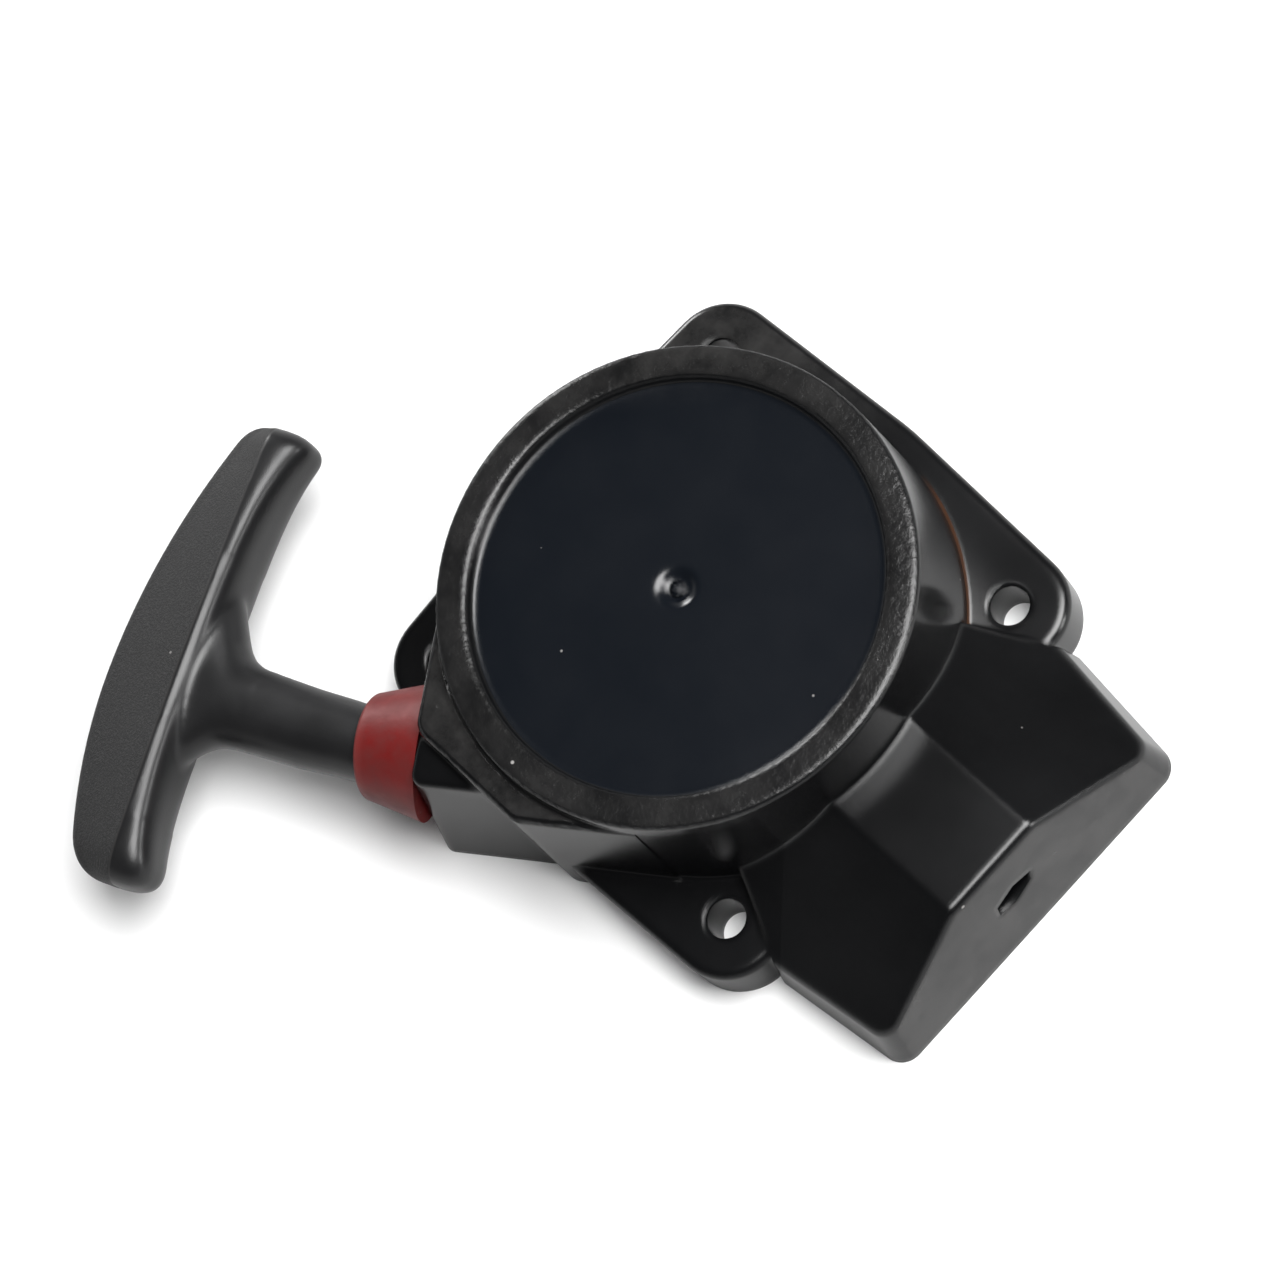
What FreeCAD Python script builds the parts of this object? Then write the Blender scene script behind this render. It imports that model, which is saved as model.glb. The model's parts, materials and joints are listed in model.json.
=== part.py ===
import FreeCAD, Part
import math
import os
import re

import Sketcher
from FreeCAD import Placement, Rotation, Vector

# Recoil starter for a small engine, in millimetres.
# The origin is the middle of the four mounting holes, on the face that meets the engine.
# +Z runs up the drum, towards its closed top.  +X runs along the hood.
# The rope leaves on the -X -Y side, along the "exit" direction, level with the reel's groove.

# Driving dimensions.  Every name is an alias in the document's sheet.
DIMENSIONS = {
    # mounting flange
    "bolt_half": 35.0,
    "bolt_hole_r": 3.5,
    "lobe_r": 10.2,
    "flange_r": 46.8,
    "flange_top": 10.5,
    "wall": 2.6,
    "boss_r": 6.4,
    "rib_wide": 1.8,
    "edge_round": 1.5,
    # drum
    "drum_base_r": 42.7,
    "drum_top_r": 41.4,
    "drum_top": 39.2,
    "recess_r": 35.5,
    "recess_deep": 1.9,
    "dimple_r": 4.0,
    "dimple_deep": 1.3,
    "cavity_r": 38.6,
    "ceiling": 34.5,
    "post_r": 5.5,
    "post_end": 7.2,
    "post_hole_r": 2.15,
    "post_hole_top": 26.0,
    # hood
    "hood_root_x": 30.0,
    "hood_root_y": 26.4,
    "hood_wide_x": 46.5,
    "hood_wide_y": 36.6,
    "hood_end_x": 72.4,
    "hood_end_y": 33.6,
    "hood_top": 25.0,
    "hood_flat_y": 9.6,
    "hood_slope": 31.0,
    "hood_corner": 4.0,
    "draft": 7.6,
    "drain_long": 8.6,
    "drain_high": 4.6,
    "drain_z": 13.6,
    # rope exit: directions in degrees from +X, distances in the exit frame
    "exit_turn": 214.0,
    "rope_level": 20.0,
    "rope_line": 28.2,
    "duct_top": 36.0,
    "duct_low_x": 46.6,
    "duct_high_x": 41.4,
    "duct_low_y": 43.2,
    "duct_high_y": 41.7,
    "duct_near_y": 8.0,
    "side_low": 48.0,
    "side_high": 46.5,
    "box_top": 32.5,
    "box_high_x": 41.9,
    "box_low_y": 40.6,
    "box_high_y": 36.6,
    "box_near_y": 22.0,
    "corner_round": 4.0,
    # rope guide
    "guide_back_x": 40.0,
    "guide_back_r": 13.0,
    "guide_front_x": 54.9,
    "guide_front_r": 9.0,
    "guide_spigot_r": 5.9,
    "guide_bore_r": 2.4,
    "guide_seat_r": 7.1,
    "guide_round": 1.2,
    "rope_r": 1.5,
    # handle: its own frame starts at the ball end of its neck
    "handle_turn": 204.4,
    "ball_r": 6.6,
    "neck_r": 7.3,
    "bar_middle_y": -6.3,
    "handle_bore_r": 2.0,
    "pocket_r": 3.7,
    "pocket_floor_x": 37.0,
    "plug_x": 45.6,
    "plug_front_x": 49.3,
    "knot_r": 3.2,
    # reel
    "reel_r": 36.8,
    "groove_r": 23.5,
    "knot_seat_r": 19.1,
    "groove_low": 16.75,
    "groove_high": 23.25,
    "reel_low": 15.25,
    "reel_high": 24.75,
    "spring_hub_r": 9.0,
    "spring_hub_top": 32.6,
    "lower_hub_r": 12.0,
    "lower_hub_end": 9.6,
    "bush_r": 6.9,
    "bush_low": 13.4,
    "brake_pocket_r": 8.3,
    "running": 0.06,
    # spring cassette
    "case_r": 37.8,
    "case_low": 26.6,
    "case_wall": 1.2,
    "case_hole_r": 10.0,
    "cover_thick": 0.8,
    "strip_wide": 5.4,
    "strip_thick": 0.5,
    "strip_turns": 11.0,
    "strip_start_r": 10.2,
    "strip_pitch": 2.2,
    # brake and pawls
    "brake_pitch": 1.15,
    "brake_wire_r": 0.42,
    "plate_low": 7.6,
    "plate_thick": 1.5,
    "plate_hub_r": 10.5,
    "plate_r": 23.6,
    "pawl_low": 10.6,
    "pawl_high": 14.6,
    "pin_x": 18.0,
    "pin_r": 2.0,
    "pawl_boss_r": 3.5,
    "pawl_long": 12.6,
    "peg_out": 5.5,
    "peg_r": 1.2,
    "pawl_swing": 27.0,
    "plate_swing": 16.0,
    "washer_r": 8.4,
    "washer_thick": 1.2,
    "screw_r": 2.1,
    "screw_head_r": 4.2,
    "screw_head_thick": 2.6,
}

# The bar of the handle: sections along it, each an ellipse.
# distance from the bar's middle, ellipse centre, half depth, half height
BAR_SECTIONS = (
    (-42.8, 36.2, 5.6, 4.6),
    (-39.0, 36.8, 7.6, 6.4),
    (-28.0, 40.0, 8.0, 7.4),
    (0.0, 41.9, 9.5, 8.3),
    (28.0, 40.6, 8.6, 7.4),
    (37.0, 38.4, 8.0, 6.4),
    (42.8, 37.4, 5.6, 4.6),
)

# The brake and the two pawls are alike on both sides of the shaft.
SIDES = (("right", 1), ("left", -1))

doc = FreeCAD.newDocument("recoil_starter")
sheet = doc.addObject("Spreadsheet::Sheet", "dim")
for row, (alias, number) in enumerate(DIMENSIONS.items(), start=1):
    sheet.set("A%d" % row, alias)
    sheet.set("B%d" % row, str(number))
    sheet.setAlias("B%d" % row, alias)
doc.recompute()

finished = {}


# ---------------------------------------------------------------- helpers

def cells(expression):
    """Point each dimension's name in an expression at its cell in the sheet."""
    def refer(word):
        name = word.group()
        return "dim." + name if name in DIMENSIONS else name
    return re.sub(r"[a-z]\w*", refer, str(expression))


def size(expression):
    """The number an expression of dimensions stands for now."""
    return float(sheet.evalExpression(cells(expression)))


def bind(thing, **properties):
    """Bind properties to expressions of dimensions; two underscores stand for a dot."""
    for name, expression in properties.items():
        thing.setExpression(name.replace("__", "."), cells(expression))
    return thing


def new_body(name):
    body = doc.addObject("PartDesign::Body", name)
    body.Label = name
    return body


def place(thing, turn="0", x="0", y="0", z="0"):
    """Turn an object about Z and move it, by expressions of dimensions."""
    thing.Placement = Placement(
        Vector(size(x), size(y), size(z)), Rotation(Vector(0, 0, 1), size(turn)))
    bind(thing, Placement__Base__x=x, Placement__Base__y=y, Placement__Base__z=z)
    return thing


def keep(thing, label):
    """Note a finished sub-part under the name of its node."""
    thing.Label = label
    finished[label] = thing
    return thing


def new_sketch(body, name, role="XY_Plane", lift="0"):
    sketch = body.newObject("Sketcher::SketchObject", name)
    plane = [item for item in body.Origin.OriginFeatures if item.Role == role][0]
    sketch.AttachmentSupport = [(plane, "")]
    sketch.MapMode = "FlatFace"
    bind(sketch, AttachmentOffset__Base__z=lift)
    return sketch


def pin_point(sketch, geometry, corner, x, y):
    """Fix one point of a sketch by expressions of dimensions."""
    for kind, expression, axis in (("DistanceX", x, -2), ("DistanceY", y, -1)):
        number = size(expression)
        if abs(number) < 1e-6:
            sketch.addConstraint(Sketcher.Constraint("PointOnObject", geometry, corner, axis))
            continue
        index = sketch.addConstraint(
            Sketcher.Constraint(kind, -1, 1, geometry, corner, number))
        sketch.setExpression("Constraints[%d]" % index, cells(expression))


def outline(sketch, corners):
    """A closed outline of straight edges through corners given as expressions."""
    first = sketch.GeometryCount
    points = [Vector(size(x), size(y), 0) for x, y in corners]
    total = len(points)
    for index in range(total):
        sketch.addGeometry(Part.LineSegment(points[index], points[(index + 1) % total]), False)
    for index in range(total):
        following = first + (index + 1) % total
        sketch.addConstraint(Sketcher.Constraint("Coincident", first + index, 2, following, 1))
    for index, (x, y) in enumerate(corners):
        pin_point(sketch, first + index, 1, x, y)
    return sketch


def circle(sketch, x, y, radius):
    index = sketch.addGeometry(
        Part.Circle(Vector(size(x), size(y), 0), Vector(0, 0, 1), size(radius)), False)
    pin_point(sketch, index, 3, x, y)
    rule = sketch.addConstraint(Sketcher.Constraint("Radius", index, size(radius)))
    sketch.setExpression("Constraints[%d]" % rule, cells(radius))
    return sketch


def pad(body, sketch, length, name):
    feature = body.newObject("PartDesign::Pad", name)
    feature.Profile = sketch
    bind(feature, Length=length)
    return feature


def pocket_through(body, sketch, name):
    """Cut a sketch out of a body, both ways."""
    feature = body.newObject("PartDesign::Pocket", name)
    feature.Profile = sketch
    feature.Type = 1
    feature.Midplane = True
    return feature


def turned(name, corners):
    """A body turned about Z from a profile of radius and height."""
    body = new_body(name)
    sketch = outline(new_sketch(body, name + "_profile", "XZ_Plane"), corners)
    feature = body.newObject("PartDesign::Revolution", name + "_turned")
    feature.Profile = sketch
    feature.ReferenceAxis = (sketch, ["V_Axis"])
    feature.Angle = 360
    return body


def ring(name, inner, outer, low, high):
    """A plain ring or, with inner 0, a disc."""
    return turned(name, ((inner, low), (outer, low), (outer, high), (inner, high)))


def round_edges(body, radius, name, wanted):
    """Round the edges of a body's tip for which wanted(edge) is true."""
    doc.recompute()
    tip = body.Tip
    names = ["Edge%d" % (index + 1) for index, edge in enumerate(tip.Shape.Edges) if wanted(edge)]
    feature = body.newObject("PartDesign::Fillet", name)
    feature.Base = (tip, names)
    bind(feature, Radius=radius)
    doc.recompute()
    return feature


def soften(base, radius, name, wanted, turn="0"):
    """Round the edges of any object for which wanted(bounding box) is true.

    The box is taken with the object turned back by an angle about Z."""
    doc.recompute()
    rounded = []
    for index, edge in enumerate(base.Shape.Edges):
        straightened = edge.copy()
        straightened.rotate(Vector(), Vector(0, 0, 1), -size(turn))
        if wanted(straightened.BoundBox):
            rounded.append((index + 1, size(radius), size(radius)))
    feature = doc.addObject("Part::Fillet", name)
    feature.Base = base
    feature.Edges = rounded
    doc.recompute()
    return feature


def refined(body):
    """The body with its lofted walls turned into true planes, ready for rounding."""
    feature = doc.addObject("Part::Refine", body.Name + "_refined")
    feature.Source = body
    return feature


def loft(body, name, low_corners, low, high_corners, high):
    """A drafted block between two outlines with the same number of corners."""
    lower = outline(new_sketch(body, name + "_low", lift=low), low_corners)
    upper = outline(new_sketch(body, name + "_high", lift=high), high_corners)
    feature = body.newObject("PartDesign::AdditiveLoft", name)
    feature.Profile = lower
    feature.Sections = [upper]
    feature.Ruled = True
    return feature


def combine(kind, name, base, tools):
    """A Part boolean of one base and several tools: Cut, MultiFuse or MultiCommon."""
    if kind == "Cut":
        tool = tools[0]
        if len(tools) > 1:
            tool = doc.addObject("Part::MultiFuse", name + "_tools")
            tool.Shapes = tools
        feature = doc.addObject("Part::Cut", name)
        feature.Base = base
        feature.Tool = tool
        return feature
    feature = doc.addObject("Part::" + kind, name)
    feature.Shapes = [base] + tools
    return feature


def rod(name, radius, length, x="0", y="0", z="0", turn="0", along="Z"):
    """A Part cylinder; along X it lies in the direction turn degrees from +X."""
    feature = doc.addObject("Part::Cylinder", name)
    bind(feature, Radius=radius, Height=length)
    lay = Rotation(Vector(0, 1, 0), 90) if along == "X" else Rotation()
    spin = Rotation(Vector(0, 0, 1), size(turn))
    feature.Placement = Placement(Vector(size(x), size(y), size(z)), spin.multiply(lay))
    return feature


def in_exit_frame(x, y, z):
    """A point of the exit frame, whose x runs along the leaving rope."""
    turn = Rotation(Vector(0, 0, 1), size("exit_turn"))
    return turn.multVec(Vector(size(x), size(y), size(z)))


def in_handle_frame(x, y=0.0, z=0.0):
    """A point of the handle's frame, whose x runs along its neck."""
    turn = Rotation(Vector(0, 0, 1), size("handle_turn"))
    return turn.multVec(Vector(x, y, z)) + in_exit_frame("guide_front_x", "rope_line", "rope_level")


def lay_along(thing, turn, point):
    """Lay a shape made about Z so that its Z runs in a level direction."""
    spin = Rotation(Vector(0, 0, 1), size(turn))
    thing.Placement = Placement(point, spin.multiply(Rotation(Vector(0, 1, 0), 90)))
    return thing


def above(level):
    """True for an edge that lies wholly above a level."""
    return lambda edge: edge.BoundBox.ZMin > level


# ---------------------------------------------------------------- housing

def flange_outline(sketch, inset):
    """Four lobes round the bolt holes, joined by tangents to a middle circle."""
    lobe = size("lobe_r - %s" % inset)
    middle = size("flange_r - %s" % inset)
    reach = size("bolt_half") * math.sqrt(2)
    lean = math.degrees(math.acos((size("flange_r") - size("lobe_r")) / reach))
    arcs = []
    for quarter in range(4):
        heading = 45 + 90 * quarter
        centre = Vector(reach, 0, 0)
        centre = Rotation(Vector(0, 0, 1), heading).multVec(centre)
        arcs.append((centre, lobe, heading - lean, heading + lean))
        arcs.append((Vector(), middle, heading + lean, heading + 90 - lean))
    first = sketch.GeometryCount
    ends = []
    for centre, radius, start, stop in arcs:
        shape = Part.Circle(centre, Vector(0, 0, 1), radius)
        sketch.addGeometry(
            Part.ArcOfCircle(shape, math.radians(start), math.radians(stop)), False)
        ends.append([centre + Rotation(Vector(0, 0, 1), angle).multVec(Vector(radius, 0, 0))
                     for angle in (start, stop)])
    total = len(arcs)
    for index in range(total):
        following = (index + 1) % total
        line = sketch.addGeometry(Part.LineSegment(ends[index][1], ends[following][0]), False)
        sketch.addConstraint(Sketcher.Constraint("Tangent", first + index, 2, line, 1))
        sketch.addConstraint(Sketcher.Constraint("Tangent", line, 2, first + following, 1))
    for index, (centre, radius, start, stop) in enumerate(arcs):
        is_lobe = index % 2 == 0
        name = "lobe_r - %s" if is_lobe else "flange_r - %s"
        if is_lobe:
            x = "bolt_half * %d" % (1 if centre.x > 0 else -1)
            y = "bolt_half * %d" % (1 if centre.y > 0 else -1)
            pin_point(sketch, first + index, 3, x, y)
        else:
            sketch.addConstraint(Sketcher.Constraint("Coincident", first + index, 3, -1, 1))
        rule = sketch.addConstraint(Sketcher.Constraint("Radius", first + index, radius))
        sketch.setExpression("Constraints[%d]" % rule, cells(name % inset))
    return sketch


def flange_block(name, inset, low, high):
    body = new_body(name)
    sketch = flange_outline(new_sketch(body, name + "_outline", lift=low), inset)
    pad(body, sketch, "(%s) - (%s)" % (high, low), name + "_pad")
    return body


def hood_block(name, inset, low, top):
    """The hood: a tapering plan with drafted walls under a roof of three flats."""
    body = new_body(name)
    side = "(%s)" % inset
    lean = "(%s) * tan(draft)" % top
    rise = "(%s) * tan(draft)" % low

    def plan(shrink):
        root_x = "hood_root_x"
        wide_x = "hood_wide_x + %s * 0.3" % side
        end_x = "hood_end_x - %s - %s" % (side, shrink)
        root_y = "hood_root_y - %s" % side
        wide_y = "hood_wide_y - %s - %s" % (side, shrink)
        end_y = "hood_end_y - %s - %s" % (side, shrink)
        right = ((root_x, root_y), (wide_x, wide_y), (end_x, end_y))
        left = tuple((x, "-(%s)" % y) for x, y in reversed(right))
        return right + left

    loft(body, name + "_walls", plan(rise), low, plan(lean), top)
    roof = new_sketch(body, name + "_roof", "YZ_Plane")
    for side_sign in ("1", "-1"):
        flat = "%s * (hood_flat_y - %s * tan(hood_slope / 2))" % (side_sign, side)
        far = "%s * (hood_flat_y + 40)" % side_sign
        eaves = "(%s) - 40 * tan(hood_slope)" % top
        outline(roof, ((flat, top), (far, eaves), (far, "(%s) + 5" % top),
                       (flat, "(%s) + 5" % top)))
    pocket_through(body, roof, name + "_slopes")
    return body


def duct_block(name, inset, low, top):
    """The rope duct: runs straight off the drum and is cut short by the housing's side."""
    body = new_body(name)
    side = "(%s)" % inset

    def plan(end_x, wall_y, side_y):
        # where the flat side of the housing, at -Y, crosses the end and the outer wall
        end = "%s - %s" % (end_x, side)
        wall = "%s - %s" % (wall_y, side)
        reach = "(%s - %s)" % (side_y, side)
        cross_end = "(%s + (%s) * sin(exit_turn)) / -cos(exit_turn)" % (reach, end)
        cross_wall = "(%s + (%s) * cos(exit_turn)) / -sin(exit_turn)" % (reach, wall)
        return (("10", "duct_near_y + %s" % side), (end, "duct_near_y + %s" % side),
                (end, cross_end), (cross_wall, wall), ("0", wall))

    share = "((%s) / duct_top)" % top
    end_top = "(duct_low_x - (duct_low_x - duct_high_x) * %s)" % share
    wall_top = "(duct_low_y - (duct_low_y - duct_high_y) * %s)" % share
    side_top = "(side_low - (side_low - side_high) * %s)" % share
    loft(body, name + "_walls", plan("duct_low_x", "duct_low_y", "side_low"), low,
         plan(end_top, wall_top, side_top), top)
    return body


def exit_box(name, inset, low, top):
    """The lower box that carries the rope guide, beyond the housing's flat side."""
    body = new_body(name)
    side = "(%s)" % inset
    share = "((%s) / box_top)" % top
    end_top = "(duct_low_x - (duct_low_x - box_high_x) * %s)" % share
    wall_top = "(box_low_y - (box_low_y - box_high_y) * %s)" % share

    def plan(end_x, wall_y):
        end = "%s - %s" % (end_x, side)
        wall = "%s - %s" % (wall_y, side)
        return (("12", "box_near_y"), (end, "box_near_y"), (end, wall), ("12", wall))

    loft(body, name + "_walls", plan("duct_low_x", "box_low_y"), low,
         plan(end_top, wall_top), top)
    return body


def upright(edge):
    """True for a straight edge that climbs more than it runs."""
    box = edge.BoundBox
    return box.ZLength > max(box.XLength, box.YLength)


def make_housing():
    flange = flange_block("flange", "0", "0", "flange_top")
    round_edges(flange, "edge_round", "flange_rim", above(size("flange_top") - 0.1))

    drum = turned("drum", (
        ("0", "0"), ("drum_base_r", "0"), ("drum_top_r", "drum_top"),
        ("recess_r + 0.5", "drum_top"), ("recess_r", "drum_top - recess_deep"),
        ("dimple_r", "drum_top - recess_deep"),
        ("dimple_r * 0.45", "drum_top - recess_deep - dimple_deep"),
        ("0", "drum_top - recess_deep - dimple_deep * 0.8")))
    rim = size("drum_top") - 0.1
    round_edges(drum, "0.7", "drum_rim", above(rim))

    hood = hood_block("hood", "0", "0", "hood_top")
    far_end = size("hood_wide_x") + 10
    round_edges(hood, "hood_corner", "hood_corners",
                lambda edge: upright(edge) and edge.BoundBox.XMin > far_end)
    round_edges(hood, "edge_round", "hood_rim",
                lambda edge: edge.BoundBox.ZMin > 1.0 and edge.BoundBox.XMax > far_end
                and edge.BoundBox.YLength + edge.BoundBox.XLength > 3.0)

    duct = refined(place(duct_block("duct", "0", "0", "duct_top"), "exit_turn"))
    duct = soften(duct, "corner_round", "duct_corners",
                  lambda box: box.ZLength > 20 and box.XMin > 18 and box.YMin > 20, "exit_turn")
    duct_rim = size("duct_top") - 0.1
    duct = soften(duct, "edge_round", "duct_rim",
                  lambda box: box.ZMin > duct_rim and box.XMax > 12 and box.YMax > 9, "exit_turn")

    box = refined(place(exit_box("exit_box", "0", "0", "box_top"), "exit_turn"))
    box = soften(box, "2.2", "box_corner",
                 lambda edge: edge.ZLength > 20 and edge.XMin > 30 and edge.YMin > 30,
                 "exit_turn")
    box_rim = size("box_top") - 0.1
    box = soften(box, "1.0", "box_rim",
                 lambda edge: edge.ZMin > box_rim and edge.XMax > 20, "exit_turn")

    solid = combine("MultiFuse", "housing_solid", flange, [drum, hood, duct, box])

    # hollow from below, one wall thick all over
    inside = [
        flange_block("flange_hollow", "wall", "-1", "flange_top - wall"),
        ring("drum_hollow", "0", "cavity_r", "-1", "ceiling"),
        hood_block("hood_hollow", "wall", "-1", "hood_top - wall"),
        place(duct_block("duct_hollow", "wall", "-1", "duct_top - wall"), "exit_turn"),
        place(exit_box("box_hollow", "wall", "-1", "box_top - wall"), "exit_turn"),
    ]
    shell = combine("Cut", "housing_shell", solid, inside)

    # the post that the reel turns on, the bolt bosses and their ribs
    added = [ring("post", "0", "post_r", "post_end", "ceiling + 0.5")]
    for quarter in range(4):
        heading = 45 + 90 * quarter
        spot = Rotation(Vector(0, 0, 1), heading).multVec(
            Vector(size("bolt_half") * math.sqrt(2), 0, 0))
        boss = rod("boss_%d" % quarter, "boss_r", "flange_top - 1.0")
        boss.Placement.Base = spot
        added.append(boss)
        for lean in (-42, 42):
            rib = doc.addObject("Part::Box", "rib_%d_%d" % (quarter, lean + 42))
            bind(rib, Length="lobe_r - 0.8", Width="rib_wide", Height="flange_top - 2.0")
            turn = Rotation(Vector(0, 0, 1), heading + lean)
            aside = turn.multVec(Vector(0, -size("rib_wide") / 2, 0))
            rib.Placement = Placement(spot + aside, turn)
            added.append(rib)
    ribbed = combine("MultiFuse", "housing_ribbed", shell, added)

    # holes: four for bolts, one for the guide, one for the screw, one small drain slot
    holes = []
    for quarter in range(4):
        hole = rod("bolt_hole_%d" % quarter, "bolt_hole_r", "flange_top + 4")
        hole.Placement.Base = Rotation(Vector(0, 0, 1), 45 + 90 * quarter).multVec(
            Vector(size("bolt_half") * math.sqrt(2), 0, -2))
        holes.append(hole)
    guide_hole = rod("guide_hole", "guide_spigot_r", "20", turn="exit_turn", along="X")
    guide_hole.Placement.Base = in_exit_frame("guide_back_x - 6", "rope_line", "rope_level")
    screw_hole = rod("screw_hole", "post_hole_r", "post_hole_top - post_end + 1",
                     z="post_end - 1")
    holes += [guide_hole, screw_hole]
    drain = new_body("drain")
    half_long = "(drain_long / 2)"
    half_high = "(drain_high / 2)"
    slot = outline(new_sketch(drain, "drain_outline", "YZ_Plane", lift="hood_end_x - 12"), (
        ("-%s" % half_long, "drain_z - %s * 0.7" % half_high),
        ("-%s * 0.2" % half_long, "drain_z - %s" % half_high),
        ("%s * 0.8" % half_long, "drain_z - %s * 0.3" % half_high),
        ("%s" % half_long, "drain_z + %s * 0.6" % half_high),
        ("%s * 0.1" % half_long, "drain_z + %s" % half_high),
        ("-%s * 0.9" % half_long, "drain_z + %s * 0.4" % half_high)))
    pad(drain, slot, "20", "drain_pad")
    holes.append(drain)
    keep(combine("Cut", "housing_holed", ribbed, holes), "housing")


# ---------------------------------------------------------------- rope guide

def make_rope_guide():
    """A tapered bush, seated on the drafted end of the duct; the handle's ball rests in it."""
    cone = doc.addObject("Part::Cone", "guide_cone")
    bind(cone, Radius1="guide_back_r", Radius2="guide_front_r",
         Height="guide_front_x - guide_back_x")
    lay_along(cone, "exit_turn", in_exit_frame("guide_back_x", "rope_line", "rope_level"))

    behind = new_body("guide_behind")
    slope = "(duct_low_x - duct_high_x) / duct_top"
    outline(new_sketch(behind, "guide_behind_outline", "XZ_Plane"), (
        ("0", "-5"), ("duct_low_x + 5 * %s + 0.02" % slope, "-5"),
        ("duct_low_x - 45 * %s + 0.02" % slope, "45"), ("0", "45")))
    wedge = pad(behind, behind.Group[0], "120", "guide_behind_pad")
    wedge.Midplane = True
    place(behind, "exit_turn")
    flare = combine("Cut", "guide_flare", cone, [behind])

    spigot = rod("guide_spigot", "guide_spigot_r", "12", turn="exit_turn", along="X")
    spigot.Placement.Base = in_exit_frame("guide_back_x - 2", "rope_line", "rope_level")
    whole = combine("MultiFuse", "guide_whole", flare, [spigot])

    # a flat underneath clears the rim of the flange
    flat = doc.addObject("Part::Box", "guide_flat")
    bind(flat, Length="30", Width="30", Height="10")
    flat.Placement = Placement(
        in_exit_frame("guide_back_x", "rope_line - 15", "flange_top + 0.2 - 10"),
        Rotation(Vector(0, 0, 1), size("exit_turn")))

    bore = rod("guide_bore", "guide_bore_r", "30", turn="exit_turn", along="X")
    bore.Placement.Base = in_exit_frame("guide_back_x - 8", "rope_line", "rope_level")
    mouth = doc.addObject("Part::Cone", "guide_mouth")
    bind(mouth, Radius1="guide_bore_r + 2", Radius2="guide_bore_r", Height="3")
    lay_along(mouth, "exit_turn", in_exit_frame("guide_back_x - 2.01", "rope_line", "rope_level"))
    seat = doc.addObject("Part::Sphere", "guide_seat")
    bind(seat, Radius="guide_seat_r")
    seat.Placement.Base = in_exit_frame("guide_front_x", "rope_line", "rope_level")
    bored = combine("Cut", "guide_bored", whole, [bore, mouth, seat, flat])
    doc.recompute()

    front = in_exit_frame("guide_front_x", "rope_line", "rope_level")
    outer_rim = []
    for index, edge in enumerate(bored.Shape.Edges):
        middle = edge.BoundBox.Center
        radius = edge.BoundBox.ZLength / 2
        if (middle - front).Length < 0.5 and radius > size("guide_front_r") - 0.3:
            outer_rim.append((index + 1, size("guide_round"), size("guide_round")))
    rounded = doc.addObject("Part::Fillet", "guide_rounded")
    rounded.Base = bored
    rounded.Edges = outer_rim
    keep(rounded, "rope_guide")


# ---------------------------------------------------------------- handle

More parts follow.
